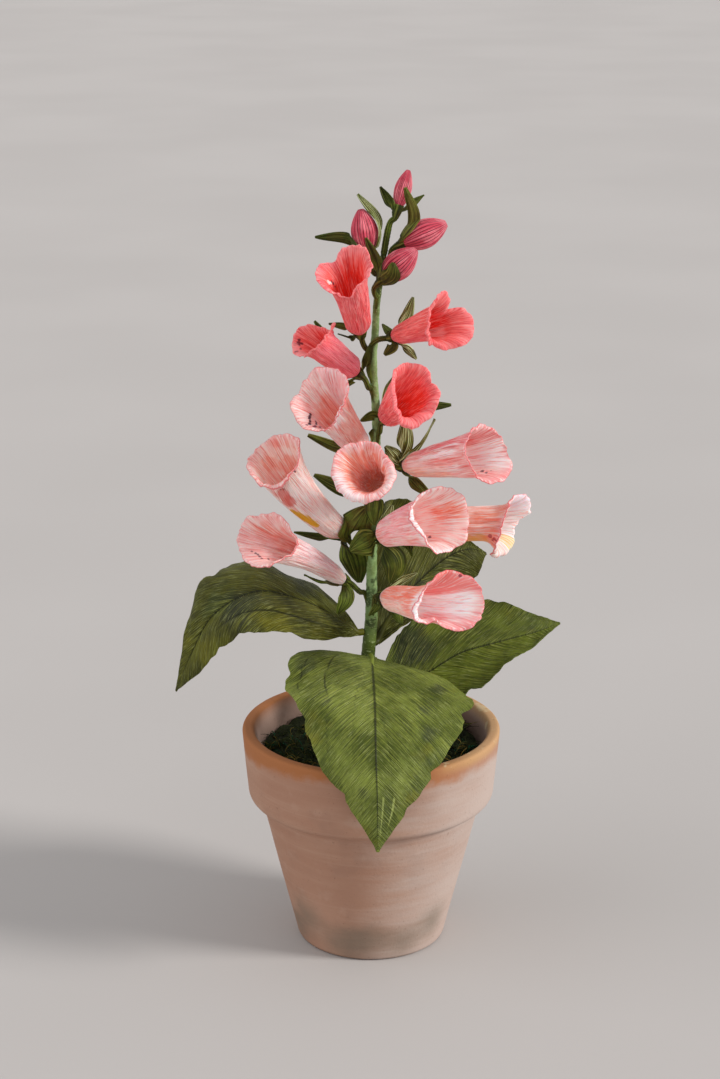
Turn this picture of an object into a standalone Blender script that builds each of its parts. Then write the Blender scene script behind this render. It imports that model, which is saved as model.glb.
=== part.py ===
"""Potted foxglove of rolled and cut crepe paper, standing in a terracotta pot.

Metres, +Z up. The origin is the middle of the pot's base, on the surface the pot stands on.
+X is the plant's right and -Y its front. Places and sizes in the tables are millimetres.
"""

import math
from dataclasses import dataclass, field

import bmesh
import bpy
from mathutils import Vector, noise

MM = 0.001
GAP = 0.3 * MM
PAPER = 0.7 * MM
WELD = 0.01 * MM
SHORT_SEAM = 0.004 * MM
SMOOTH_ANGLE = math.radians(42)

# Pot: a flared wall under a rim band
POT_HEIGHT = 94 * MM
POT_BASE_RADIUS = 31 * MM
POT_WALL_TOP_RADIUS = 46 * MM
POT_BAND_FOOT = 63 * MM
POT_BAND_FOOT_RADIUS = 51.4 * MM
POT_RIM_RADIUS = 54 * MM
POT_RIM_WIDTH = 4.8 * MM
POT_FLOOR = 6.5 * MM
POT_INNER_FLOOR_RADIUS = 26.8 * MM
DRAIN_RADIUS = 6 * MM
POT_SIDES = 36

# Plaster fill and the moss on it
FILL_TOP = 80 * MM
MOSS_SIDES = 32
MOSS_RINGS = 6
MOSS_LIFT = 6 * MM
MOSS_TUFT = 2.6 * MM
MOSS_TUFT_SPACING = 7 * MM

# Main stem: (x, z, radius) of its middle line, all at y = 0
STEM_LINE = (
    (0, 22, 2.5), (0, 82, 2.5), (0, 92, 2.6), (-1.3, 125, 2.9), (0, 141, 2.6), (0.2, 166, 2.1),
    (0.6, 183, 2.0),
    (1.0, 200, 2.0), (2.0, 221, 1.8), (1.6, 232, 1.7), (0.7, 244, 1.6), (0.6, 253, 1.5), (1.3, 260, 1.5),
    (1.9, 273, 1.4), (3.2, 282, 1.3), (4.6, 292, 1.2), (6.0, 301, 1.1), (7.2, 305.5, 1.0),
)
STEM_SIDES = 8

# Rolled blooms
BLOOM_SIDES = 18
BLOOM_STATIONS = (0.0, 0.06, 0.18, 0.5, 0.75, 0.9, 1.0)
BLOOM_NECK = 2.4 * MM
BELLY_AT = 0.16
THROAT_AT = 0.72
THROAT_BACK = 0.78

# Pleated buds
BUD_SIDES = 16
BUD_STATIONS = (0.0, 0.12, 0.3, 0.52, 0.74, 0.9, 1.0)
BUD_NECK = 1.9 * MM
BUD_FULLNESS = 0.75
BUD_PLEATS = 8
BUD_PLEAT_DEPTH = 0.09

# Calyx: wrapped stalk, cup and sepals
STALK_RADIUS = 1.15 * MM
STALK_SIDES = 6
CUP_LENGTH = 4.5 * MM
CUP_OVERHANG = 0.4 * MM
SEPAL_ROWS = 4
SEPAL_CLEAR = 0.9 * MM
SEPAL_FOLD = 0.12
FRONT = Vector((0, -1, 0))

# Leaves
LEAF_COLUMNS = 6
LEAF_ROWS = 13
LEAF_TIP_WIDTH = 2.4 * MM
MARGIN_CUT = 0.9 * MM
MARGIN_WAVE = 1.1 * MM
PETIOLE_SIDES = 6


def at(x, y, z):
    """A place given in millimetres."""
    return Vector((x, y, z)) * MM


@dataclass
class Flower:
    """One bloom or bud.

    base: where the paper tube is pinched; azimuth: from the front, towards the right;
    elevation: above level; belly and throat: radius of the tube near its base and where it starts to flare;
    mouth: widest radius; lip: the cut edge as (angle, reach, radius), angles from the top, clockwise as
    seen from outside; bow: how far the middle of the tube bends towards the lip's right and top;
    flare: how late and sharply the lip turns out; sepals: for each, a place on its middle, its tip, its
    width and how much it turns from its bloom's outside (0) to the front (1); root_drop: how far below
    the cup the stalk leaves the stem; route: places of a stalk that takes a longer way.
    """

    name: str
    base: Vector
    azimuth: float
    elevation: float
    length: float
    mouth: float
    belly: float = 0.0
    throat: float = 0.0
    bow: tuple = (0, 0)
    flare: float = 1.35
    lip: tuple = ()
    sepals: tuple = ()
    root_drop: float = 5.0
    route: tuple = ()
    axis: Vector = field(init=False)
    top: Vector = field(init=False)
    right: Vector = field(init=False)

    def __post_init__(self):
        turn, rise = math.radians(self.azimuth), math.radians(self.elevation)
        level = Vector((math.sin(turn), -math.cos(turn), 0))
        self.axis = level * math.cos(rise) + Vector((0, 0, math.sin(rise)))
        self.top = (Vector((0, 0, 1)) - self.axis * self.axis.z).normalized()
        self.right = self.top.cross(self.axis)

    @property
    def is_bud(self):
        return not self.lip

    @property
    def neck(self):
        return BUD_NECK if self.is_bud else BLOOM_NECK

    def tube_radius(self, along):
        """Radius at this distance from the base, before the lip flares."""
        share = max(along / (self.length * MM), 0.0)
        if self.is_bud:
            return self.mouth * MM * math.sin(math.pi * (0.1 + 0.86 * min(share, 1.0))) ** BUD_FULLNESS
        belly, throat = self.belly * MM, self.throat * MM
        if share < BELLY_AT:
            return self.neck + (belly - self.neck) * math.sin(math.pi / 2 * share / BELLY_AT)
        return belly + (throat - belly) * min((share - BELLY_AT) / (THROAT_AT - BELLY_AT), 1.0)

    def outer_radius(self, along):
        """The widest that the bloom gets at this distance from the base."""
        radius = self.tube_radius(along)
        if self.is_bud:
            return radius * (1 + BUD_PLEAT_DEPTH)
        return radius + max(0.0, along / (self.length * MM) - THROAT_AT + 0.1) * self.mouth * MM

    def lip_at(self, degrees):
        """Reach and radius of the lip at this angle."""
        for (a0, reach0, radius0), (a1, reach1, radius1) in zip(self.lip, self.lip[1:] + self.lip[:1]):
            span = (a1 - a0) % 360
            t = ((degrees - a0) % 360) / span
            if t <= 1:
                ease = t * t * (3 - 2 * t)
                return (reach0 + (reach1 - reach0) * ease) * MM, (radius0 + (radius1 - radius0) * ease) * MM
        raise ValueError(self.name)

    def place(self, along, angle, radius):
        """A point at this distance along the axis, on the circle of this radius."""
        outward = self.top * math.cos(angle) + self.right * math.sin(angle)
        bend = math.sin(math.pi * min(max(along / (self.length * MM), 0), 1)) * MM
        middle = self.base + self.axis * along + (self.right * self.bow[0] + self.top * self.bow[1]) * bend
        return middle + outward * radius

    def clear(self, place, margin):
        """The place, moved straight out from the tube where it is closer than margin to its outside."""
        along = (place - self.base).dot(self.axis)
        if not -0.5 * MM < along < 0.85 * self.length * MM:
            return place
        middle = self.place(along, 0, 0)
        away = place - middle
        least = self.outer_radius(along) + margin
        return place if away.length >= least else middle + away.normalized() * least


FLOWERS = (
    Flower(
        "bloom_01", at(-4.7, -6, 263.2), -17, 57, 33, 12.5, belly=5.2, throat=7.2, flare=2.0,
        lip=((0, 35, 11.5), (30, 35.5, 11.5), (58, 31, 10.5), (92, 31, 9.5), (122, 29, 8), (167, 23, 7),
             (205, 26, 8.2), (228, 30, 11), (255, 31, 12.5), (285, 31, 12.8), (316, 29.5, 10.5),
             (340, 34, 11)),
        sepals=(
            (at(-10.2, -5, 264.5), at(-17, -3, 265.5), 3.6, 0.5),
            (at(-8.2, -3, 259.7), at(-13.4, -1, 261), 2.4, 0),
        ),
    ),
    Flower(
        "bloom_02", at(-6.3, -6, 246.6), -63, 39, 26, 10.5, belly=5.4, throat=6.4, flare=1.7,
        lip=((8, 21, 10), (28, 20.5, 7.5), (58, 22, 6.8), (94, 23.4, 6.5), (135, 24, 6.8), (186, 22.7, 8),
             (219, 24.2, 10.5), (250, 26.3, 10.5), (275, 26.5, 10.5), (295, 24.8, 10), (315, 20.5, 9),
             (345, 17, 7.5)),
        sepals=(
            (at(-13.9, 4, 253.3), at(-22.9, 10, 263.8), 4, 0),
            (at(-1.9, -7.5, 252), at(-0.6, -8.5, 258), 3.8, 1),
            (at(-7.8, -9, 243.7), at(-10, -6, 240.5), 3.6, 0),
        ),
    ),
    Flower(
        "bloom_03", at(9.1, -8, 261.7), 48, 21, 31, 12.5, belly=4.3, throat=7, flare=1.8,
        lip=((5, 30, 11), (40, 26.5, 10.2), (58, 23.5, 8.5), (79, 29.4, 11), (100, 30.8, 12),
             (130, 31.5, 12),
             (158, 29.5, 12), (180, 24, 11), (200, 19.5, 8.5), (244, 21.6, 7.5), (275, 24, 7.8),
             (305, 28, 9.8), (330, 31, 10.8)),
        sepals=(
            (at(13.7, -3, 268.2), at(16.3, -2, 276), 4.4, 0.7),
            (at(6.6, -5, 263), at(4.2, -3.5, 265.5), 3.4, 0.5),
            (at(8.1, -9, 257.4), at(5, -9, 254.2), 4.4, 0.8),
            (at(14.3, -8, 256), at(17.6, -7, 252.1), 3.4, 0.7),
        ),
        route=((-2.0, -2.5, 246), (-0.5, -4.5, 256), (2.4, -5.6, 259.6)),
    ),
    Flower(
        "bloom_04", at(5.7, -8, 228.3), 29, 36, 28, 12, belly=5.4, throat=8.5, flare=3.2,
        lip=((10, 27.7, 11.5), (30, 27.7, 11.5), (55, 28, 11), (74, 27, 9.5), (100, 27, 11), (122, 26, 11),
             (145, 22, 11.7), (180, 19.6, 12), (205, 20, 11.5), (231, 22.7, 10.5), (260, 25.5, 10.2),
             (290, 28, 10.6), (330, 28.5, 11.3)),
        sepals=(
            (at(6.5, 0, 237), at(9, 2, 243.1), 4, 0.5),
            (at(0.5, -8.5, 229.3), at(-4.3, -6, 226.6), 4, 0.8),
            (at(19.6, 6, 228.9), at(32.2, 6, 230.2), 4.6, 0.6),
        ),
    ),
    Flower(
        "bloom_05", at(-3.9, -6, 214.6), -39, 46, 36, 13.5, belly=5.5, throat=8, flare=1.6,
        lip=((0, 37, 13.5), (32, 36, 13), (45, 33.6, 11.5), (69, 32.5, 9.3), (97, 30.3, 8), (139, 27, 7.5),
             (175, 27, 9.5), (209, 31, 13), (245, 36.4, 13.5), (274, 34.9, 13), (299, 37.6, 12.5),
             (325, 39.2, 13.2)),
        sepals=(
            (at(-14.4, 0, 213.8), at(-25.7, 2, 218.7), 4.8, 0.6),
            (at(-1, -9, 219), at(0.5, -9, 224), 3.6, 0.8),
        ),
    ),
    Flower(
        "bloom_06", at(-11.6, -4, 178.7), -61, 49, 47, 13, belly=5.6, throat=8.6, bow=(0, -2),
        lip=((11, 46, 13), (34, 44, 11), (58, 41.4, 8.8), (90, 41, 8.3), (124, 40.2, 8.3), (160, 40, 9),
             (185, 42.5, 10.8), (210, 48, 12), (240, 50, 12.2), (271, 49.5, 12.5), (297, 49, 12.5),
             (345, 48, 12.2)),
        sepals=(
            (at(-20.9, -4, 177), at(-31.5, -4, 179.5), 5, 0.6),
            (at(-6.4, -8.4, 183.2), at(-1.6, -7, 191), 14, 0.85),
            (at(-7.3, 2, 166), at(-5, 4.5, 155), 12, 0.9),
        ),
    ),
    Flower(
        "bloom_07", at(1.6, -7.8, 200.5), -9, 26, 36, 12.8, belly=4.5, throat=6.8, bow=(1.6, -1.8),
        flare=1.5,
        lip=((0, 34, 11.8), (25, 34, 11.4), (50, 34, 10.2), (75, 34, 11), (100, 34, 12),
             (135, 34, 12.4), (180, 34, 12),
             (225, 34, 12.3), (270, 34, 12.8), (300, 34, 13), (330, 34, 12.6)),
        sepals=(
            (at(-11.6, 1, 196.3), at(-23.4, 3, 201.6), 7, 0.6),
            (at(1, -11.6, 192), at(1.2, -11.6, 184.8), 8, 0.9),
        ),
    ),
    Flower(
        "bloom_08", at(13.5, -4, 207.4), 58, 16, 41, 12.8, belly=5.4, throat=8.8, flare=1.8,
        lip=((5, 36.3, 12), (34, 37, 12), (53, 39.3, 12), (79, 40.2, 12), (104, 41.4, 12), (132, 43, 12.6),
             (162, 41.2, 13), (187, 38, 12.3), (207, 35.2, 10.5), (230, 34.7, 9.4), (254, 34.6, 9),
             (285, 33.6, 8.6), (306, 33.2, 8.7), (330, 34.8, 9.7), (348, 36, 11.2)),
        sepals=(
            (at(13.4, -5, 218.5), at(13.4, -1, 226.5), 7, 0.9),
            (at(19.9, -1, 216.1), at(25.4, 0, 225.9), 2.8, 0.3),
            (at(18.4, -3, 198.7), at(24.7, 2, 192.2), 5.6, 0.6),
            (at(8.6, -5, 212), at(5.5, -2, 215), 6.5, 0.9),
        ),
    ),
    Flower(
        "bloom_09", at(3.4, -8, 179.5), 47, 21, 36, 14.4, belly=6.2, throat=9.6, bow=(0, 1.2), flare=1.7,
        lip=((0, 30, 12.5), (18, 35.5, 14), (51, 37.3, 14.5), (67, 38, 14.5), (90, 37, 14), (114, 36, 14),
             (135, 35.7, 14.5), (155, 31.5, 14), (185, 30.5, 13), (214, 31.8, 12), (241, 31.3, 10.5),
             (268, 29.2, 9.6), (296, 26.4, 9.2), (335, 24.5, 9.7)),
        sepals=(
            (at(9.4, -9, 168), at(7.8, -7, 158.5), 10.5, 0.8),
            (at(-2.2, -12.2, 177.2), at(-8.6, -12, 174), 12, 0.9),
            (at(6.3, -2, 184), at(8.4, 2, 189.2), 5, 0.4),
        ),
    ),
    Flower(
        "bloom_10", at(16.6, 4, 180.0), 81, 4, 44, 13.5, belly=6.8, throat=7.4, flare=3.4,
        lip=((0, 42.5, 11.8), (20, 46, 11.8), (45, 47.8, 10.8), (78, 47.5, 9.4), (100, 42.5, 8.8),
             (125, 40.5, 9.8),
             (150, 40.5, 12), (172, 38.5, 13.4), (190, 35.5, 13.6), (210, 34.5, 13), (235, 35.5, 11),
             (265, 36.5, 9.2), (300, 38.5, 9), (335, 40.5, 10.4)),
        sepals=(
            (at(16.7, 6, 183.3), at(19.1, 8, 187.4), 4, 0.3),
            (at(15.1, 8, 170.2), at(16.8, 9, 165.1), 5, 0.3),
        ),
    ),
    Flower(
        "bloom_11", at(-12, -4, 159.4), -53, 31, 45, 12.5, belly=3.8, throat=6.1, bow=(0, 1.8), flare=1.6,
        lip=((0, 42, 12), (14, 40, 10.8), (30, 36.5, 8.5), (50, 33, 7.6), (94, 34.4, 7.6), (119, 37.8, 8.6),
             (138, 42, 10.5), (175, 44, 10.7), (216, 46.5, 11), (263, 49.3, 11.7), (300, 49.5, 12.5),
             (322, 46, 11.8), (345, 43.5, 12.5)),
        sepals=(
            (at(-20.2, -5, 158), at(-27.5, -5, 161.5), 4.8, 0.5),
            (at(-10.4, -8, 151.7), at(-13.7, -8, 145.6), 6.4, 0.8),
        ),
    ),
    Flower(
        "bloom_12", at(5.1, -9, 153.3), 43, 11, 40, 13.2, belly=5.4, throat=8.2, bow=(0, -1.4),
        lip=((0, 33.5, 12), (22, 34, 13.2), (40, 39, 13), (55, 43.6, 12.5), (75, 44.6, 12.5),
             (110, 45.1, 12.5),
             (130, 44.7, 13), (148, 43, 13.1), (163, 39.5, 13.2), (182, 35.5, 10.8), (197, 31, 7.8),
             (214, 28, 9.4),
             (234, 26, 9.8), (258, 25, 8.4), (286, 26.3, 7.7), (322, 29, 8.6), (344, 32.5, 10.6)),
        sepals=(
            (at(13, -1, 157.5), at(18.8, 2, 160), 4, 0.6),
            (at(10.1, -5, 145.5), at(12.6, -4, 139.9), 4.8, 0.5),
            (at(2.6, -12.2, 150.6), at(-1, -11.5, 146.2), 3.6, 0.5),
        ),
    ),
    Flower(
        "bud_1", at(10.2, 0, 311.3), 127, 70, 15, 3.2,
        sepals=(
            (at(6.6, -1, 313.5), at(3.3, -2, 319.5), 4.4, 0.7),
            (at(16.5, 2, 312.6), at(20.4, 3, 315.6), 3.6, 0.5),
        ),
    ),
    Flower(
        "bud_2", at(-1.5, -4, 294.3), -141, 74, 17, 5,
        sepals=(
            (at(2.8, -2, 305.8), at(-5.6, -2, 316.7), 5, 0.5),
            (at(-9.4, -4, 299.4), at(-22.3, -4, 300.2), 4.8, 0.7),
        ),
    ),
    Flower(
        "bud_3", at(12.6, -0.5, 297.1), 93, 25, 18.5, 5.5,
        sepals=(
            (at(16.4, -3, 307), at(12.8, -6, 319.8), 5, 0.7),
            (at(14.5, 4, 302), at(17.5, 6.5, 309), 4, 0.5),
        ),
    ),
    Flower(
        "bud_4", at(4.7, -6, 284.2), 79, 43, 17.5, 5.3,
        sepals=(
            (at(7.4, -12.2, 286.5), at(8.6, -12.8, 291.7), 7, 0.9),
            (at(2, -8.5, 290.2), at(-2.3, -10.8, 301.1), 5, 0.8),
        ),
    ),
)

# Each leaf: its midrib and its two margins, from the stalk to the tip
LEAVES = {
    "leaf_left": (
        ((-5.2, -2, 135.5), (-13, -3, 141.8), (-29, -6, 151), (-47, -9, 155.5), (-64, -11, 146.5),
         (-73.5, -12, 130), (-80.4, -12, 113.5)),
        ((-5.2, -2, 136.5), (-16, 6, 147.5), (-34, 12, 156), (-51.6, 12, 162), (-69.5, 3, 156),
         (-76.4, -6, 137), (-80.4, -12, 113.5)),
        ((-5.2, -3, 134.5), (-12.5, -8, 135.3), (-26, -20, 139), (-44, -24, 144), (-57, -22, 139),
         (-69, -18, 125), (-80.4, -12, 113.5)),
    ),
    "leaf_front": (
        ((-0.1, -4.8, 125.5), (0.3, -11, 124.8), (0.8, -25, 121.5), (1.3, -42, 114.6), (1.6, -57, 102),
         (2.2, -65, 86), (2.4, -68, 67.2)),
        ((-1.5, -4.8, 126), (-28, -13, 131.5), (-35, -25, 123.5), (-29, -39, 114.5), (-20.5, -54, 98.5),
         (-8.5, -62, 83.5), (2.4, -68, 67.2)),
        ((1.5, -4.8, 125), (24, -14, 121.7), (40, -28, 116.6), (36.5, -41, 110), (27, -54, 98),
         (15.5, -62, 84), (2.4, -68, 67.2)),
    ),
    "leaf_right": (
        ((4.0, 1, 107.5), (12, 0, 110.7), (23, 0, 116.7), (37, 1, 125.3), (53, 1, 130.2), (69, 1, 134.8),
         (78.3, 3, 137.9)),
        ((4.2, 2, 109), (6.7, 10, 120.2), (14, 15, 131.5), (33, 19, 140), (50, 20, 142.6), (66, 12, 139.5),
         (78.3, 3, 137.9)),
        ((4.2, 0, 106), (16, -6, 105), (29, -10, 107), (42, -10, 112), (56, -10, 125), (68, -5, 131.5),
         (78.3, 3, 137.9)),
    ),
    "leaf_upper": (
        ((2.0, 4.2, 129), (8.7, 10, 140), (20, 21, 150), (32, 29, 158), (42, 33, 160.5), (49, 34.5, 158)),
        ((0.6, 4.4, 130), (-1, 16, 158), (5, 28, 182), (20, 34, 180), (36, 36.5, 168), (49, 34.5, 158)),
        ((3.4, 4, 128), (15.3, 6, 137.2), (26, 13, 142), (36, 21, 145.5), (44.5, 28, 149.7), (49, 34.5, 158)),
    ),
}

# How much each leaf's halves arch between midrib and margin, millimetres
LEAF_ARCH = {"leaf_left": 2.5, "leaf_front": 1.5, "leaf_right": 2.0, "leaf_upper": 3.0}

TERRACOTTA = (0.60, 0.33, 0.22)
PLASTER = (0.72, 0.70, 0.66)
MOSS_GREEN = (0.035, 0.055, 0.02)
STEM_GREEN = (0.16, 0.27, 0.12)
SEPAL_GREEN = (0.14, 0.18, 0.05)
LEAF_GREEN = (0.13, 0.19, 0.05)
CORAL = (0.85, 0.24, 0.22)
PALE_PINK = (0.87, 0.48, 0.44)
BUD_PINK = (0.75, 0.20, 0.26)
CORAL_BLOOMS = ("bloom_01", "bloom_02", "bloom_03", "bloom_04")


def clear_scene():
    """Start from an empty scene."""
    for obj in list(bpy.data.objects):
        bpy.data.objects.remove(obj)


def material(name, color, roughness):
    """One finish for a kind of piece."""
    made = bpy.data.materials.get(name) or bpy.data.materials.new(name)
    made.use_nodes = True
    shader = made.node_tree.nodes["Principled BSDF"]
    shader.inputs["Base Color"].default_value = (*color, 1)
    shader.inputs["Roughness"].default_value = roughness
    shader.inputs["Metallic"].default_value = 0
    return made


def spline_point(points, share):
    """The point at this share of a smooth curve through the points."""
    span = share * (len(points) - 1)
    i = min(int(span), len(points) - 2)
    t = span - i
    before = points[i - 1] if i else points[0] * 2 - points[1]
    after = points[i + 2] if i + 2 < len(points) else points[-1] * 2 - points[-2]
    start, end = points[i], points[i + 1]
    return 0.5 * (
        start * 2 + (end - before) * t
        + (before * 2 - start * 5 + end * 4 - after) * t * t
        + (start * 3 - before - end * 3 + after) * t ** 3
    )


def bezier_point(corners, t):
    """The point at t on the Bezier curve with these corners."""
    points = list(corners)
    while len(points) > 1:
        points = [a.lerp(b, t) for a, b in zip(points, points[1:])]
    return points[0]


def stem_at(height):
    """Middle and radius of the stem at this height."""
    for (x0, z0, r0), (x1, z1, r1) in zip(STEM_LINE, STEM_LINE[1:]):
        if height <= z1 * MM:
            break
    t = min(max((height / MM - z0) / (z1 - z0), 0), 1)
    return Vector(((x0 + (x1 - x0) * t) * MM, 0, height)), (r0 + (r1 - r0) * t) * MM


def off_stem(point, margin):
    """The point, moved straight out from the stem where it is closer than margin to its surface."""
    if point.z > STEM_LINE[-1][1] * MM:
        return point
    middle, radius = stem_at(point.z)
    away = point - middle
    least = radius + margin
    if away.length >= least:
        return point
    return middle + away.normalized() * least


def finish(bm, name, finish_material):
    """The mesh as an object of its own, shaded smooth apart from its corners."""
    mesh = bpy.data.meshes.new(name)
    bm.to_mesh(mesh)
    bm.free()
    mesh.materials.append(finish_material)
    mesh.shade_smooth()
    mesh.set_sharp_from_angle(angle=SMOOTH_ANGLE)
    obj = bpy.data.objects.new(name, mesh)
    bpy.context.scene.collection.objects.link(obj)
    return obj


def extrude_row(bm, row, places):
    """Extrude a ring of vertices and put the new ones at these places."""
    edges = [bm.edges.get(pair) for pair in zip(row, row[1:] + row[:1])]
    made = set(bmesh.ops.extrude_edge_only(bm, edges=edges)["geom"])
    fresh = [next(e.other_vert(v) for e in v.link_edges if e.other_vert(v) in made) for v in row]
    for vert, place in zip(fresh, places):
        vert.co = place
    return fresh


def loft(rings, cap_end):
    """A skin through rings of places, closed at its start and, with cap_end, at its end."""
    bm = bmesh.new()
    row = bmesh.ops.create_circle(bm, cap_ends=True, segments=len(rings[0]), radius=1)["verts"]
    for vert, place in zip(row, rings[0]):
        vert.co = place
    for places in rings[1:]:
        row = extrude_row(bm, row, places)
    if cap_end:
        bmesh.ops.contextual_create(bm, geom=row)
    bmesh.ops.triangulate(bm, faces=bm.faces)
    bmesh.ops.recalc_face_normals(bm, faces=bm.faces)
    return bm


def tube(route, radii, sides):
    """A closed tube along a route, with a radius at each of its points."""
    across = None
    rings = []
    for i, (centre, radius) in enumerate(zip(route, radii)):
        ahead = (route[min(i + 1, len(route) - 1)] - route[max(i - 1, 0)]).normalized()
        across = ahead.orthogonal() if across is None else across - ahead * across.dot(ahead)
        across.normalize()
        other = ahead.cross(across)
        turns = [2 * math.pi * k / sides for k in range(sides)]
        rings.append([centre + (across * math.cos(t) + other * math.sin(t)) * radius for t in turns])
    return loft(rings, cap_end=True)


def sheet(place, columns, rows):
    """A sheet of paper whose point at (across, along), each 0 to 1, is place(across, along)."""
    bm = bmesh.new()
    bmesh.ops.create_grid(bm, x_segments=columns, y_segments=rows, size=1)
    for vert in bm.verts:
        vert.co = place((vert.co.x + 1) / 2, (vert.co.y + 1) / 2)
    bmesh.ops.triangulate(bm, faces=bm.faces)
    bmesh.ops.recalc_face_normals(bm, faces=bm.faces)
    return bm


def thicken(obj, offset):
    """Give a sheet the thickness of its paper."""
    solid = obj.modifiers.new("Paper", "SOLIDIFY")
    solid.thickness = PAPER
    solid.offset = offset
    solid.use_even_offset = False
    return obj


def fuse(name, pieces):
    """Join overlapping closed pieces into one body and keep it as the first of them.

    The MANIFOLD solver is used because EXACT leaves holes where a thin blade crosses a stalk. Points as
    close as SHORT_SEAM are made one, because such short seams spoil the solid.
    """
    body, *others = pieces
    body.name = name
    group = bpy.data.collections.new(name + " pieces")
    for piece in others:
        group.objects.link(piece)
    union = body.modifiers.new("Fuse", "BOOLEAN")
    union.operation = "UNION"
    union.operand_type = "COLLECTION"
    union.collection = group
    union.solver = "MANIFOLD"
    graph = bpy.context.evaluated_depsgraph_get()
    joined = bpy.data.meshes.new_from_object(body.evaluated_get(graph))
    bm = bmesh.new()
    bm.from_mesh(joined)
    bmesh.ops.remove_doubles(bm, verts=bm.verts, dist=SHORT_SEAM)
    bm.to_mesh(joined)
    bm.free()
    body.modifiers.clear()
    body.data = joined
    for piece in others:
        bpy.data.objects.remove(piece)
    bpy.data.collections.remove(group)
    return body


def turned(name, profile, sides, finish_material, closed):
    """A turned body from its (radius, height) profile; closed joins the profile's ends off the axis."""
    bm = bmesh.new()
    verts = [bm.verts.new((radius, 0, height)) for radius, height in profile]
    ends = verts[1:] + verts[:1] if closed else verts[1:]
    edges = [bm.edges.new(pair) for pair in zip(verts, ends)]
    bmesh.ops.spin(
        bm, geom=verts + edges, cent=(0, 0, 0), axis=(0, 0, 1), dvec=(0, 0, 0),
        angle=2 * math.pi, steps=sides, use_merge=True, use_duplicate=False,
    )
    bmesh.ops.remove_doubles(bm, verts=bm.verts, dist=WELD)
    bmesh.ops.recalc_face_normals(bm, faces=bm.faces)
    return finish(bm, name, finish_material)


def rounded(corners, steps):
    """Profile points from (radius, height, rounding) corners, each rounding a short curve."""
    profile = []
    for i, (radius, height, rounding) in enumerate(corners):
        corner = Vector((radius, height))
        if not rounding:
            profile.append(corner)
            continue
        before = Vector(corners[i - 1][:2])
        after = Vector(corners[(i + 1) % len(corners)][:2])
        start = corner + (before - corner).normalized() * rounding
        end = corner + (after - corner).normalized() * rounding
        profile += [bezier_point((start, corner, end), k / steps) for k in range(steps + 1)]
    return profile


def inner_radius(height):
    """Radius of the pot's inner wall at this height."""
    share = (height - POT_FLOOR) / (POT_HEIGHT - POT_FLOOR)
    return POT_INNER_FLOOR_RADIUS + (POT_RIM_RADIUS - POT_RIM_WIDTH - POT_INNER_FLOOR_RADIUS) * share


def make_pot():
    """A thick flared wall, a rim band round its top and a drain hole."""
    corners = (
        (DRAIN_RADIUS, 0, 0),
        (POT_BASE_RADIUS, 0, 2.2 * MM),
        (POT_WALL_TOP_RADIUS, POT_BAND_FOOT - 1.5 * MM, 0),
        (POT_BAND_FOOT_RADIUS, POT_BAND_FOOT + 1.5 * MM, 1.6 * MM),
        (POT_RIM_RADIUS, POT_HEIGHT, 1.8 * MM),
        (POT_RIM_RADIUS - POT_RIM_WIDTH, POT_HEIGHT, 1.5 * MM),
        (POT_INNER_FLOOR_RADIUS, POT_FLOOR, 0),
        (DRAIN_RADIUS, POT_FLOOR, 0),
    )
    clay = material("terracotta", TERRACOTTA, 0.85)
    return turned("pot", rounded(corners, 2), POT_SIDES, clay, closed=True)


def make_fill():
    """The plaster that holds the stem, up to the moss, and fills the drain hole level with the pot's base."""
    low = POT_FLOOR + GAP
    plug = DRAIN_RADIUS - GAP
    stem_end = STEM_LINE[0][1] * MM - GAP
    hole = STEM_LINE[0][2] * MM + GAP
    profile = (
        (0, 0), (plug, 0), (plug, low),
        (inner_radius(low) - 2 * GAP, low), (inner_radius(FILL_TOP) - 2 * GAP, FILL_TOP),
        (hole, FILL_TOP), (hole, stem_end), (0, stem_end),
    )
    return turned("fill", profile, POT_SIDES, material("plaster", PLASTER, 0.9), closed=False)


def make_moss():
    """A mat of moss in tufts, round the stem."""
    low = FILL_TOP + GAP
    inner = STEM_LINE[2][2] * MM + 2 * GAP
    outer = inner_radius(low) - 2 * GAP
    top = []
    for k in range(MOSS_RINGS + 1):
        share = k / MOSS_RINGS
        height = low + MOSS_LIFT * (0.6 + 0.5 * math.sin(math.pi * share))
        top.append((outer + (inner - outer) * share, height))
    green = material("moss", MOSS_GREEN, 0.95)
    moss = turned("moss", [(inner, low), (outer, low), *top], MOSS_SIDES, green, closed=True)
    for vert in moss.data.vertices:
        if vert.co.z > low + WELD:
            vert.co.z += MOSS_TUFT * noise.noise(vert.co / MOSS_TUFT_SPACING)
    return moss


def make_stem():
    """The main stem, set into the fill."""
    route = [at(x, 0, z) for x, z, _ in STEM_LINE]
    radii = [radius * MM for _, _, radius in STEM_LINE]
    return finish(tube(route, radii, STEM_SIDES), "stem", material("stem tape", STEM_GREEN, 0.75))


def bloom_ring(flower, share):
    """One ring of a bloom's sheet, at this share of the way from the base to the lip."""
    places = []
    for k in range(BLOOM_SIDES):
        degrees = 360 * k / BLOOM_SIDES
        reach, lip_radius = flower.lip_at(degrees)
        throat_at = min(THROAT_AT * flower.length * MM, THROAT_BACK * reach)
        along = share * reach
        radius = flower.tube_radius(min(along, throat_at))
        if along > throat_at:
            radius += (lip_radius - radius) * ((along - throat_at) / (reach - throat_at)) ** flower.flare
        places.append(flower.place(along, math.radians(degrees), radius))
    return places


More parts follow.
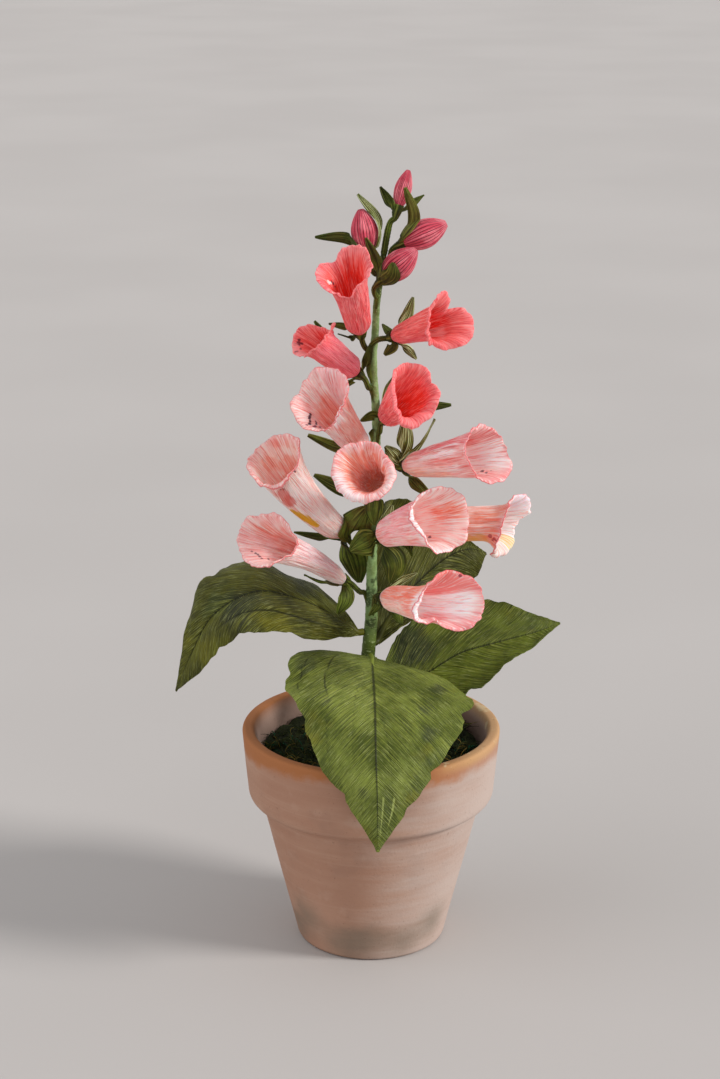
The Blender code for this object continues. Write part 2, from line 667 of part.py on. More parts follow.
def make_bloom(flower):
    """A rolled tube of paper, pinched shut at its base and flared at its mouth."""
    coral = flower.name in CORAL_BLOOMS
    paper = material("coral paper", CORAL, 0.7) if coral else material("pale pink paper", PALE_PINK, 0.7)
    skin = loft([bloom_ring(flower, share) for share in BLOOM_STATIONS], cap_end=False)
    foot = min(skin.faces, key=lambda face: (face.calc_center_median() - flower.base).length)
    if foot.normal.dot(flower.axis) > 0:
        bmesh.ops.reverse_faces(skin, faces=skin.faces)
    return thicken(finish(skin, flower.name, paper), offset=-1)


def make_bud(flower):
    """A closed bud whose paper is gathered in pleats."""
    rings = []
    for share in BUD_STATIONS:
        ring = []
        for k in range(BUD_SIDES):
            angle = 2 * math.pi * k / BUD_SIDES
            pleat = 1 + BUD_PLEAT_DEPTH * math.cos(BUD_PLEATS * angle)
            along = share * flower.length * MM
            ring.append(flower.place(along, angle, flower.tube_radius(along) * pleat))
        rings.append(ring)
    return finish(loft(rings, cap_end=True), flower.name, material("bud paper", BUD_PINK, 0.7))


def stalk_route(flower):
    """Points of the stalk from the stem's surface to the back of the cup."""
    cup_back = flower.base - flower.axis * CUP_LENGTH
    if flower.route:
        points = [at(*place) for place in flower.route] + [cup_back]
        middle, radius = stem_at(points[0].z)
        outward = (points[0] - middle).normalized()
        points[0] = middle + outward * (radius + 2 * GAP + STALK_RADIUS * 0.3)
        return [spline_point(points, k / 6) for k in range(7)]
    middle, radius = stem_at(min(cup_back.z - flower.root_drop * MM, STEM_LINE[-1][1] * MM))
    outward = Vector((cup_back.x - middle.x, cup_back.y - middle.y, 0)).normalized()
    start = middle + outward * (radius + GAP * 1.5)
    bend = (cup_back - start).length / 3
    corners = (start, start + outward * bend, cup_back - flower.axis * bend, cup_back)
    return [bezier_point(corners, k / 4) for k in range(5)]


def make_stalk(flower, paper):
    """The wrapped stalk and the cup that holds the base of the paper tube."""
    route = stalk_route(flower)
    radii = [0.6 * STALK_RADIUS] + [STALK_RADIUS] * (len(route) - 1)
    cup_radius = flower.neck + CUP_OVERHANG
    front = 1.2 * GAP
    for back, radius in ((CUP_LENGTH * 0.55, 0.8 * cup_radius), (front, cup_radius)):
        route.append(flower.base - flower.axis * back)
        radii.append(radius)
    return finish(tube(route, radii, STALK_SIDES), flower.name + " stalk", paper)


def sepal_spine(flower, middle, tip, share):
    """Middle line of a sepal from inside the cup to its tip, and the way its bloom's outside faces there."""
    outward = middle - flower.base
    outward -= flower.axis * outward.dot(flower.axis)
    outward.normalize()
    root = flower.base - flower.axis * 1.7 * MM + outward * (flower.neck - 0.5 * MM)
    return spline_point((root, middle, tip), share), outward


def make_sepal(flower, number, middle, tip, width, front, paper):
    """One cut sepal, folded a little along its middle."""

    def place(across, along):
        share = along ** 1.4
        rib, outward = sepal_spine(flower, middle, tip, share)
        ahead = sepal_spine(flower, middle, tip, min(share + 0.05, 1))[0]
        ahead = (ahead - sepal_spine(flower, middle, tip, max(share - 0.05, 0))[0]).normalized()
        facing = outward.lerp(FRONT, front * min(2 * share, 1))
        facing = (facing - ahead * facing.dot(ahead)).normalized()
        side = ahead.cross(facing)
        half = width * math.sin(math.pi * (0.14 + 0.83 * share)) ** 0.8 / 2
        offset = 2 * across - 1
        point = rib + side * half * offset - facing * half * 2 * SEPAL_FOLD * abs(offset)
        if share > 0.1:
            for other in FLOWERS:
                point = other.clear(point, SEPAL_CLEAR)
            point = off_stem(point, SEPAL_CLEAR)
        return point

    blade = finish(sheet(place, 2, SEPAL_ROWS), f"{flower.name} sepal {number}", paper)
    return thicken(blade, offset=0)


def make_calyx(flower):
    """Stalk, cup and sepals of one flower, as one body."""
    paper = material("sepal paper", SEPAL_GREEN, 0.8)
    pieces = [make_stalk(flower, paper)]
    for number, (middle, tip, width, front) in enumerate(flower.sepals):
        pieces.append(make_sepal(flower, number, middle, tip, width * MM, front, paper))
    kind = "calyx_" + flower.name if flower.is_bud else flower.name.replace("bloom", "calyx")
    return fuse(kind, pieces)


def make_leaf(name):
    """A cut leaf with a folded midrib, waved margins and a wired stalk."""
    middle, first, second = [[at(*place) for place in line] for line in LEAVES[name]]
    arch = LEAF_ARCH[name] * MM

    def place(across, along):
        offset = 2 * across - 1
        rib = spline_point(middle, along)
        margin = spline_point(first if offset < 0 else second, along)
        ahead = spline_point(middle, min(along + 0.04, 1)) - spline_point(middle, max(along - 0.04, 0))
        outward = margin - rib
        least = LEAF_TIP_WIDTH / 2
        if outward.length < least:
            side = spline_point(second, 0.8) - spline_point(first, 0.8)
            outward = side.normalized() * least * (1 if offset > 0 else -1)
        facing = ahead.cross(outward) * (1 if offset > 0 else -1)
        facing = facing.normalized() if facing.length else Vector((0, 0, 1))
        reach = abs(offset)
        row = round(along * LEAF_ROWS)
        inside = math.sin(math.pi * min(along * 1.05, 1))
        cut = MARGIN_CUT * inside * (1 if row % 2 else -1) * reach ** 4
        wave = MARGIN_WAVE * inside * math.sin(2.4 * row + (2 if offset > 0 else 0)) * reach ** 3
        lift = arch * inside * 4 * reach * (1 - reach)
        return rib + outward * reach + outward.normalized() * cut + facing * (wave + lift)

    paper = material("leaf paper", LEAF_GREEN, 0.8)
    blade = thicken(finish(sheet(place, LEAF_COLUMNS, LEAF_ROWS), name + " blade", paper), offset=0)
    start = middle[0]
    stem_middle, stem_radius = stem_at(start.z)
    root = stem_middle + (start - stem_middle).normalized() * (stem_radius + 1.5 * GAP)
    route = [root] + [spline_point(middle, share) for share in (0.02, 0.1, 0.2, 0.3)]
    radii = [radius * MM for radius in (1.5, 1.4, 1.2, 0.9, 0.6)]
    petiole = finish(tube(route, radii, PETIOLE_SIDES), name, paper)
    return fuse(name, [petiole, blade])


def main():
    clear_scene()
    make_pot()
    make_fill()
    make_moss()
    make_stem()
    for flower in FLOWERS:
        if flower.is_bud:
            make_bud(flower)
        else:
            make_bloom(flower)
        make_calyx(flower)
    for name in LEAVES:
        make_leaf(name)


main()
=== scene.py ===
"""Finish of the potted foxglove: crepe paper blooms, leaves and tape, moss and a clay pot.

Metres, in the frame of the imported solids. Places and sizes in the tables are millimetres, colours are screen values
from 0 to 255. +X is the plant's right and -Y its front.
"""

import math
import random
from dataclasses import dataclass, field

import bmesh
import bpy
from mathutils import Matrix, Vector, noise


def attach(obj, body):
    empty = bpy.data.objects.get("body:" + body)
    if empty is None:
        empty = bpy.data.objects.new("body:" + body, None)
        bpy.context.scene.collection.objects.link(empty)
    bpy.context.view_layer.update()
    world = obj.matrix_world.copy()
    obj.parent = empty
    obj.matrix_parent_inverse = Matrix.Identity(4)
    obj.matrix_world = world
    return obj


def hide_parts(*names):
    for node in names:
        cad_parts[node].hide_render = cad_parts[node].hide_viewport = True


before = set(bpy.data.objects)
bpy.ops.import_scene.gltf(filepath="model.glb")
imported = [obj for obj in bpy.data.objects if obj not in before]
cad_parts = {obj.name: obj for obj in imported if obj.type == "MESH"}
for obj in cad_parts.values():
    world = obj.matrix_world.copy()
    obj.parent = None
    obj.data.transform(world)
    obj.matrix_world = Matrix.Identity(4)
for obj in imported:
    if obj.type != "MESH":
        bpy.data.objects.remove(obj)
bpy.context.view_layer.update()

MM = 0.001
TURN = 2 * math.pi
GAP = 0.3 * MM
WELD = 0.01 * MM
SHEET = 0.45 * MM
PAPER_SCATTER = 1.5 * MM
SMOOTH_ANGLE = math.radians(50)
FRONT = Vector((0, -1, 0))

# Pot
POT_HEIGHT = 94 * MM
POT_BASE_RADIUS = 31 * MM
POT_WALL_TOP_RADIUS = 46 * MM
POT_BAND_FOOT = 63 * MM
POT_BAND_FOOT_RADIUS = 51.4 * MM
POT_RIM_RADIUS = 54 * MM
POT_RIM_WIDTH = 4.8 * MM
POT_FLOOR = 6.5 * MM
POT_INNER_FLOOR_RADIUS = 26.8 * MM
DRAIN_RADIUS = 6 * MM
POT_SIDES = 144
POT_ROUNDING_STEPS = 6
POT_LONG_EDGE = 6 * MM
POT_TRUE_FOOT = 3 * MM
POT_UNEVEN = 0.16 * MM
# Damp smudges near the pot's foot: where each is and how far it spreads, in millimetres
DAMP_SPOTS = (
    ((-26, -22, 17), 12), ((-30, -12, 10), 9), ((0, -35, 10), 12), ((-12, -32, 8), 12), ((26, -24, 14), 12),
    ((14, -32, 8), 12), ((-10, 36, 12), 12), ((30, 16, 14), 10),
)

# Moss
FILL_TOP = 80 * MM
MOSS_SIDES = 96
MOSS_RINGS = 22
MOSS_LIFT = 6 * MM
MOSS_TUFT = 2.6 * MM
MOSS_TUFT_SPACING = 7 * MM
MOSS_FOOT = FILL_TOP + GAP
MOSS_ROUGH = 0.9 * MM
MOSS_SUNK = 0.6 * MM
TUFT_KINDS = 30
TUFTS = 330
TUFT_LEAN = 0.35
THREADS = 12
THREAD_ROWS = 5
THREAD_SIDES = 3

# Main stem: (x, z, radius) of its middle line, all at y = 0
STEM_LINE = (
    (0, 22, 2.5), (0, 82, 2.5), (0, 92, 2.6), (-1.3, 125, 2.9), (0, 141, 2.6), (0.2, 166, 2.1), (0.6, 183, 2.0),
    (1.0, 200, 2.0), (2.0, 221, 1.8), (1.6, 232, 1.7), (0.7, 244, 1.6), (0.6, 253, 1.5), (1.3, 260, 1.5),
    (1.9, 273, 1.4), (3.2, 282, 1.3), (4.6, 292, 1.2), (6.0, 301, 1.1), (7.2, 305.5, 1.0),
)
STEM_RADIUS_IN_MOSS = STEM_LINE[2][2] * MM
STEM_SIDES = 24
STEM_ROWS = 380
TAPE_PITCH = 3.4 * MM
TAPE_STEP = 0.16 * MM
STALK_TAPE_STEP = 0.12 * MM
STALK_TAPE_TURNS = 2.2
LAP_MIDDLE = 0.6

# Rolled blooms
BLOOM_COLUMNS = 222
BLOOM_ROWS = 42
BLOOM_RIBS = 74
RIB_DEPTH = 0.17 * MM
BLOOM_NECK = 2.4 * MM
BELLY_AT = 0.16
THROAT_AT = 0.72
THROAT_BACK = 0.78
CURL_FROM = 0.88
CURL_TURN = 60
CURL_RADIUS = 1.1 * MM
PAPER_SEED = 5.1

# Pleated buds
BUD_COLUMNS = 168
BUD_ROWS = 44
BUD_NECK = 1.9 * MM
BUD_FULLNESS = 0.75
BUD_PLEATS = 8
BUD_PLEAT_DEPTH = 0.09
BUD_FOLD_DEPTH = 0.5 * MM
TUCK_FROM = 0.95

# Calyx
STALK_RADIUS = 1.15 * MM
STALK_SIDES = 14
STALK_ROWS = 12
CUP_LENGTH = 4.5 * MM
CUP_OVERHANG = 0.4 * MM
# How far the cup's brim stays back from the paper tube's foot
BUD_CUP_BRIM = -0.9 * MM
BLOOM_CUP_BRIM = 1.2 * GAP
SEPAL_COLUMNS = 12
SEPAL_ROWS = 26
STALK_LAP = 5 * MM
# The top bud's stalk is the stem's own end, wrapped on
TOP_BUD = "bud_1"
TOP_STALK_HEIGHTS = (293, 299, 305)
TOP_STALK_RADIUS = 1.35 * MM
SEPAL_CLEAR = 0.9 * MM
SEPAL_ROOT = 1.7 * MM
SEPAL_CURL = 0.5 * MM
SEPAL_FOLD = 0.12
SEPAL_SEED = 3.7
STRIPED_SHADE = 0.9

# Leaves
LEAF_COLUMNS = 72
LEAF_ROWS = 104
LEAF_NOTCHES = 13
# Width of each leaf's tip in millimetres
LEAF_TIPS = {"leaf_left": 2.4, "leaf_front": 4.6, "leaf_right": 2.4, "leaf_upper": 3.0}
LEAF_TIP_FROM = 0.93
LEAF_TIP_TAPER = 0.8
LEAF_STALK_RADII = (1.5, 1.4, 1.2, 0.9, 0.5)
LEAF_STALK_REACHES = (0.02, 0.1, 0.2, 0.3)
LEAF_STALK_SIDES = 12
LEAF_STALK_ROWS = 40
MARGIN_NOTCH = 0.54 * MM
MARGIN_TOOTH = 0.9 * MM
MARGIN_WAVE = 1.1 * MM
MIDRIB_BREADTH = 0.55 * MM
VEIN_BREADTH = 0.6 * MM
VEIN_DEPTH = 0.3
CREASE_BREADTH = 0.6 * MM
RIDGE_BREADTH = 1.0 * MM
LEAF_PRESS = 0.5 * MM
LEAF_CRINKLE = 0.3 * MM

# Camera of the photograph: its focal length and frame in pixels, its place, and how far it looks down
SENSOR_WIDTH = 24
FOCAL_PIXELS = 2308
FRAME_PIXELS = 1079
CAMERA_PLACE = (-0.00467, -0.9, 0.4573)
CAMERA_DOWN = 17.41
CAMERA_CLIP = 0.05

# Light: the sky, and for each window where it shines from, its strength, its softness in degrees and its colour
SKY_COLOR = (0.97, 0.98, 1, 1)
SKY_STRENGTH = 0.58
WINDOWS = {
    "window_right": ((0.85, -0.25, 0.5), 2.5, 16, (1, 0.985, 0.96)),
    "window_left": ((-0.8, -0.3, 0.5), 0.7, 60, (0.98, 0.99, 1)),
}
FLOOR_RADIUS = 8


def at(x, y, z):
    """A place given in millimetres."""
    return Vector((x, y, z)) * MM


def tint(red, green, blue):
    """A screen colour as the linear values that a material takes."""
    return tuple(((c / 255 + 0.055) / 1.055) ** 2.4 if c > 10 else c / 255 / 12.92 for c in (red, green, blue))


@dataclass
class Flower:
    """One bloom or bud, its places and lengths given in millimetres.

    base: where the paper tube is pinched; azimuth: from the front, towards the right; elevation: above level;
    belly and throat: radius of the tube near its base and where it starts to flare; mouth: widest radius;
    lip: the cut edge as (angle, reach, radius), angles from the top, clockwise as seen from outside;
    bow: how far the middle of the tube bends towards the lip's right and top; flare: how late and sharply the lip
    turns out; sepals: for each, a place on its middle, its tip, its width and how much it turns from its bloom's
    outside (0) to the front (1);
    root_drop: how far below the cup the stalk leaves the stem; route: places of a stalk that takes a longer way.
    """

    name: str
    base: tuple
    azimuth: float
    elevation: float
    length: float
    mouth: float
    belly: float = 0.0
    throat: float = 0.0
    bow: tuple = (0, 0)
    flare: float = 1.35
    lip: tuple = ()
    sepals: tuple = ()
    root_drop: float = 5.0
    route: tuple = ()
    axis: Vector = field(init=False)
    top: Vector = field(init=False)
    right: Vector = field(init=False)

    def __post_init__(self):
        self.base = at(*self.base)
        turn, rise = math.radians(self.azimuth), math.radians(self.elevation)
        level = Vector((math.sin(turn), -math.cos(turn), 0))
        self.axis = level * math.cos(rise) + Vector((0, 0, math.sin(rise)))
        self.top = (Vector((0, 0, 1)) - self.axis * self.axis.z).normalized()
        self.right = self.top.cross(self.axis)

    @property
    def is_bud(self):
        """A closed bud has no lip."""
        return not self.lip

    @property
    def neck(self):
        """Radius of the paper at its pinched foot."""
        return BUD_NECK if self.is_bud else BLOOM_NECK

    def tube_radius(self, along):
        """Radius at this distance from the base, before the lip flares."""
        share = max(along / (self.length * MM), 0.0)
        if self.is_bud:
            return self.mouth * MM * math.sin(math.pi * (0.1 + 0.86 * min(share, 1.0))) ** BUD_FULLNESS
        belly, throat = self.belly * MM, self.throat * MM
        if share < BELLY_AT:
            return self.neck + (belly - self.neck) * math.sin(math.pi / 2 * share / BELLY_AT)
        return belly + (throat - belly) * min((share - BELLY_AT) / (THROAT_AT - BELLY_AT), 1.0)

    def outer_radius(self, along):
        """The widest that the bloom gets at this distance from the base."""
        radius = self.tube_radius(along)
        if self.is_bud:
            return radius * (1 + BUD_PLEAT_DEPTH)
        return radius + max(0.0, along / (self.length * MM) - THROAT_AT + 0.1) * self.mouth * MM

    def lip_at(self, degrees):
        """Reach and radius of the lip at this angle."""
        for (a0, reach0, radius0), (a1, reach1, radius1) in zip(self.lip, self.lip[1:] + self.lip[:1]):
            span = (a1 - a0) % 360
            t = ((degrees - a0) % 360) / span
            if t <= 1:
                ease = t * t * (3 - 2 * t)
                return (reach0 + (reach1 - reach0) * ease) * MM, (radius0 + (radius1 - radius0) * ease) * MM
        raise ValueError(self.name)

    def place(self, along, angle, radius):
        """A point at this distance along the axis, on the circle of this radius."""
        outward = self.top * math.cos(angle) + self.right * math.sin(angle)
        bend = math.sin(math.pi * min(max(along / (self.length * MM), 0), 1)) * MM
        middle = self.base + self.axis * along + (self.right * self.bow[0] + self.top * self.bow[1]) * bend
        return middle + outward * radius

    def clear(self, place, margin):
        """The place, moved straight out from the tube where it is closer than margin to its outside."""
        along = (place - self.base).dot(self.axis)
        if not -0.5 * MM < along < 0.85 * self.length * MM:
            return place
        middle = self.place(along, 0, 0)
        away = place - middle
        least = self.outer_radius(along) + margin
        return place if away.length >= least else middle + away.normalized() * least


# The blooms, then the buds
FLOWERS = (
    Flower(
        "bloom_01", (-4.7, -6, 263.2), -17, 57, 33, 12.5, belly=5.2, throat=7.2, flare=2.0,
        lip=((0, 35, 11.5), (30, 35.5, 11.5), (58, 31, 10.5), (92, 31, 9.5), (122, 29, 8), (167, 23, 7),
             (205, 26, 8.2), (228, 30, 11), (255, 31, 12.5), (285, 31, 12.8), (316, 29.5, 10.5), (340, 34, 11)),
        sepals=(
            ((-10.2, -5, 264.5), (-17, -3, 265.5), 3.6, 0.5),
            ((-8.2, -3, 259.7), (-13.4, -1, 261), 2.4, 0),
        ),
    ),
    Flower(
        "bloom_02", (-6.3, -6, 246.6), -63, 39, 26, 10.5, belly=5.4, throat=6.4, flare=1.7,
        lip=((8, 21, 10), (28, 20.5, 7.5), (58, 22, 6.8), (94, 23.4, 6.5), (135, 24, 6.8), (186, 22.7, 8),
             (219, 24.2, 10.5), (250, 26.3, 10.5), (275, 26.5, 10.5), (295, 24.8, 10), (315, 20.5, 9), (345, 17, 7.5)),
        sepals=(
            ((-13.9, 4, 253.3), (-22.9, 10, 263.8), 4, 0),
            ((-1.9, -7.5, 252), (-0.6, -8.5, 258), 3.8, 1),
            ((-7.8, -9, 243.7), (-10, -6, 240.5), 3.6, 0),
        ),
    ),
    Flower(
        "bloom_03", (9.1, -8, 261.7), 48, 21, 31, 12.5, belly=4.3, throat=7, flare=1.8,
        lip=((5, 30, 11), (40, 26.5, 10.2), (58, 23.5, 8.5), (79, 29.4, 11), (100, 30.8, 12), (130, 31.5, 12),
             (158, 29.5, 12), (180, 24, 11), (200, 19.5, 8.5), (244, 21.6, 7.5), (275, 24, 7.8), (305, 28, 9.8),
             (330, 31, 10.8)),
        sepals=(
            ((13.7, -3, 268.2), (16.3, -2, 276), 4.4, 0.7),
            ((6.6, -5, 263), (4.2, -3.5, 265.5), 3.4, 0.5),
            ((8.1, -9, 257.4), (5, -9, 254.2), 4.4, 0.8),
            ((14.3, -8, 256), (17.6, -7, 252.1), 3.4, 0.7),
        ),
        route=((-2.0, -2.5, 246), (-0.5, -4.5, 256), (2.4, -5.6, 259.6)),
    ),
    Flower(
        "bloom_04", (5.7, -8, 228.3), 29, 36, 28, 12, belly=5.4, throat=8.5, flare=3.2,
        lip=((10, 27.7, 11.5), (30, 27.7, 11.5), (55, 28, 11), (74, 27, 9.5), (100, 27, 11), (122, 26, 11),
             (145, 22, 11.7), (180, 19.6, 12), (205, 20, 11.5), (231, 22.7, 10.5), (260, 25.5, 10.2), (290, 28, 10.6),
             (330, 28.5, 11.3)),
        sepals=(
            ((6.5, 0, 237), (9, 2, 243.1), 4, 0.5),
            ((0.5, -8.5, 229.3), (-4.3, -6, 226.6), 4, 0.8),
            ((19.6, 6, 228.9), (32.2, 6, 230.2), 4.6, 0.6),
        ),
    ),
    Flower(
        "bloom_05", (-3.9, -6, 214.6), -39, 46, 36, 13.5, belly=5.5, throat=8, flare=1.6,
        lip=((0, 37, 13.5), (32, 36, 13), (45, 33.6, 11.5), (69, 32.5, 9.3), (97, 30.3, 8), (139, 27, 7.5),
             (175, 27, 9.5), (209, 31, 13), (245, 36.4, 13.5), (274, 34.9, 13), (299, 37.6, 12.5), (325, 39.2, 13.2)),
        sepals=(
            ((-14.4, 0, 213.8), (-25.7, 2, 218.7), 4.8, 0.6),
            ((-1, -9, 219), (0.5, -9, 224), 3.6, 0.8),
        ),
    ),
    Flower(
        "bloom_06", (-11.6, -4, 178.7), -61, 49, 47, 13, belly=5.6, throat=8.6, bow=(0, -2),
        lip=((11, 46, 13), (34, 44, 11), (58, 41.4, 8.8), (90, 41, 8.3), (124, 40.2, 8.3), (160, 40, 9),
             (185, 42.5, 10.8), (210, 48, 12), (240, 50, 12.2), (271, 49.5, 12.5), (297, 49, 12.5), (345, 48, 12.2)),
        sepals=(
            ((-20.9, -4, 177), (-31.5, -4, 179.5), 5, 0.6),
            ((-6.4, -8.4, 183.2), (-1.6, -7, 191), 14, 0.85),
            ((-7.3, 2, 166), (-5, 4.5, 155), 12, 0.9),
        ),
    ),
    Flower(
        "bloom_07", (1.6, -7.8, 200.5), -9, 26, 36, 12.8, belly=4.5, throat=6.8, bow=(1.6, -1.8), flare=1.5,
        lip=((0, 34, 11.8), (25, 34, 11.4), (50, 34, 10.2), (75, 34, 11), (100, 34, 12), (135, 34, 12.4), (180, 34, 12),
             (225, 34, 12.3), (270, 34, 12.8), (300, 34, 13), (330, 34, 12.6)),
        sepals=(
            ((-11.6, 1, 196.3), (-23.4, 3, 201.6), 7, 0.6),
            ((1, -11.6, 192), (1.2, -11.6, 184.8), 8, 0.9),
        ),
    ),
    Flower(
        "bloom_08", (13.5, -4, 207.4), 58, 16, 41, 12.8, belly=5.4, throat=8.8, flare=1.8,
        lip=((5, 36.3, 12), (34, 37, 12), (53, 39.3, 12), (79, 40.2, 12), (104, 41.4, 12), (132, 43, 12.6),
             (162, 41.2, 13), (187, 38, 12.3), (207, 35.2, 10.5), (230, 34.7, 9.4), (254, 34.6, 9), (285, 33.6, 8.6),
             (306, 33.2, 8.7), (330, 34.8, 9.7), (348, 36, 11.2)),
        sepals=(
            ((13.4, -5, 218.5), (13.4, -1, 226.5), 7, 0.9),
            ((19.9, -1, 216.1), (25.4, 0, 225.9), 2.8, 0.3),
            ((18.4, -3, 198.7), (24.7, 2, 192.2), 5.6, 0.6),
            ((8.6, -5, 212), (5.5, -2, 215), 6.5, 0.9),
        ),
    ),
    Flower(
        "bloom_09", (3.4, -8, 179.5), 47, 21, 36, 14.4, belly=6.2, throat=9.6, bow=(0, 1.2), flare=1.7,
        lip=((0, 30, 12.5), (18, 35.5, 14), (51, 37.3, 14.5), (67, 38, 14.5), (90, 37, 14), (114, 36, 14),
             (135, 35.7, 14.5), (155, 31.5, 14), (185, 30.5, 13), (214, 31.8, 12), (241, 31.3, 10.5), (268, 29.2, 9.6),
             (296, 26.4, 9.2), (335, 24.5, 9.7)),
        sepals=(
            ((9.4, -9, 168), (7.8, -7, 158.5), 10.5, 0.8),
            ((-2.2, -12.2, 177.2), (-8.6, -12, 174), 12, 0.9),
            ((6.3, -2, 184), (8.4, 2, 189.2), 5, 0.4),
        ),
    ),
    Flower(
        "bloom_10", (16.6, 4, 180.0), 81, 4, 44, 13.5, belly=6.8, throat=7.4, flare=3.4,
        lip=((0, 42.5, 11.8), (20, 46, 11.8), (45, 47.8, 10.8), (78, 47.5, 9.4), (100, 42.5, 8.8), (125, 40.5, 9.8),
             (150, 40.5, 12), (172, 38.5, 13.4), (190, 35.5, 13.6), (210, 34.5, 13), (235, 35.5, 11), (265, 36.5, 9.2),
             (300, 38.5, 9), (335, 40.5, 10.4)),
        sepals=(
            ((16.7, 6, 183.3), (19.1, 8, 187.4), 4, 0.3),
            ((15.1, 8, 170.2), (16.8, 9, 165.1), 5, 0.3),
        ),
    ),
    Flower(
        "bloom_11", (-12, -4, 159.4), -53, 31, 45, 12.5, belly=3.8, throat=6.1, bow=(0, 1.8), flare=1.6,
        lip=((0, 42, 12), (14, 40, 10.8), (30, 36.5, 8.5), (50, 33, 7.6), (94, 34.4, 7.6), (119, 37.8, 8.6),
             (138, 42, 10.5), (175, 44, 10.7), (216, 46.5, 11), (263, 49.3, 11.7), (300, 49.5, 12.5), (322, 46, 11.8),
             (345, 43.5, 12.5)),
        sepals=(
            ((-20.2, -5, 158), (-27.5, -5, 161.5), 4.8, 0.5),
            ((-10.4, -8, 151.7), (-13.7, -8, 145.6), 6.4, 0.8),
        ),
    ),
    Flower(
        "bloom_12", (5.1, -9, 153.3), 43, 11, 40, 13.2, belly=5.4, throat=8.2, bow=(0, -1.4),
        lip=((0, 33.5, 12), (22, 34, 13.2), (40, 39, 13), (55, 43.6, 12.5), (75, 44.6, 12.5), (110, 45.1, 12.5),
             (130, 44.7, 13), (148, 43, 13.1), (163, 39.5, 13.2), (182, 35.5, 10.8), (197, 31, 7.8), (214, 28, 9.4),
             (234, 26, 9.8), (258, 25, 8.4), (286, 26.3, 7.7), (322, 29, 8.6), (344, 32.5, 10.6)),
        sepals=(
            ((13, -1, 157.5), (18.8, 2, 160), 4, 0.6),
            ((10.1, -5, 145.5), (12.6, -4, 139.9), 4.8, 0.5),
            ((2.6, -12.2, 150.6), (-1, -11.5, 146.2), 3.6, 0.5),
        ),
    ),
    Flower(
        "bud_1", (10.2, 0, 311.3), 127, 70, 15, 3.2,
        sepals=(
            ((6.6, -1, 313.5), (3.3, -2, 319.5), 4.4, 0.7),
            ((16.5, 2, 312.6), (20.4, 3, 315.6), 3.6, 0.5),
        ),
    ),
    Flower(
        "bud_2", (-1.5, -4, 294.3), -141, 74, 17, 5,
        sepals=(
            ((2.8, -2, 305.8), (-5.6, -2, 316.7), 5, 0.5),
            ((-9.4, -4, 299.4), (-22.3, -4, 300.2), 4.8, 0.7),
        ),
    ),
    Flower(
        "bud_3", (12.6, -0.5, 297.1), 93, 25, 18.5, 5.5,
        sepals=(
            ((16.4, -3, 307), (12.8, -6, 319.8), 5, 0.7),
            ((14.5, 4, 302), (17.5, 6.5, 309), 4, 0.5),
        ),
    ),
    Flower(
        "bud_4", (4.7, -6, 284.2), 79, 43, 17.5, 5.3,
        sepals=(
            ((7.4, -12.2, 286.5), (8.6, -12.8, 291.7), 7, 0.9),
            ((2, -8.5, 290.2), (-2.3, -10.8, 301.1), 5, 0.8),
        ),
    ),
)

# Each leaf: its midrib and its two margins, from the stalk to the tip
LEAVES = {
    "leaf_left": (
        ((-5.2, -2, 135.5), (-13, -3, 141.8), (-29, -6, 151), (-47, -9, 155.5), (-64, -11, 146.5), (-73.5, -12, 130),
         (-80.4, -12, 113.5)),
        ((-5.2, -2, 136.5), (-16, 6, 147.5), (-34, 12, 156), (-51.6, 12, 162), (-69.5, 3, 156), (-76.4, -6, 137),
         (-80.4, -12, 113.5)),
        ((-5.2, -3, 134.5), (-12.5, -8, 135.3), (-26, -20, 139), (-44, -24, 144), (-57, -22, 139), (-69, -18, 125),
         (-80.4, -12, 113.5)),
    ),
    "leaf_front": (
        ((-0.1, -4.8, 125.5), (0.3, -11, 124.8), (0.8, -25, 121.5), (1.3, -42, 114.6), (1.6, -57, 102), (2.2, -65, 86),
         (2.4, -68, 67.2)),
        ((-1.5, -4.8, 126), (-28, -13, 131.5), (-35, -25, 123.5), (-29, -39, 114.5), (-20.5, -54, 98.5),
         (-8.5, -62, 83.5), (2.4, -68, 67.2)),
        ((1.5, -4.8, 125), (24, -14, 121.7), (40, -28, 116.6), (36.5, -41, 110), (27, -54, 98), (15.5, -62, 84),
         (2.4, -68, 67.2)),
    ),
    "leaf_right": (
        ((4.0, 1, 107.5), (12, 0, 110.7), (23, 0, 116.7), (37, 1, 125.3), (53, 1, 130.2), (69, 1, 134.8),
         (78.3, 3, 137.9)),
        ((4.2, 2, 109), (6.7, 10, 120.2), (14, 15, 131.5), (33, 19, 140), (50, 20, 142.6), (66, 12, 139.5),
         (78.3, 3, 137.9)),
        ((4.2, 0, 106), (16, -6, 105), (29, -10, 107), (42, -10, 112), (56, -10, 125), (68, -5, 131.5),
         (78.3, 3, 137.9)),
    ),
    "leaf_upper": (
        ((2.0, 4.2, 129), (8.7, 10, 140), (20, 21, 150), (32, 29, 158), (42, 33, 160.5), (49, 34.5, 158)),
        ((0.6, 4.4, 130), (-1, 16, 158), (5, 28, 182), (20, 34, 180), (36, 36.5, 168), (49, 34.5, 158)),
        ((3.4, 4, 128), (15.3, 6, 137.2), (26, 13, 142), (36, 21, 145.5), (44.5, 28, 149.7), (49, 34.5, 158)),
    ),
}
# How far each half of a leaf bulges, in millimetres
LEAF_ARCH = {"leaf_left": 2.5, "leaf_front": 1.5, "leaf_right": 2.0, "leaf_upper": 3.0}

# Pressed side veins: where each starts on the midrib, and how far it has run towards the tip at the margin
LEAF_VEINS = ((0.03, 0.42), (0.1, 0.4), (0.22, 0.36), (0.36, 0.32), (0.52, 0.28), (0.68, 0.22))
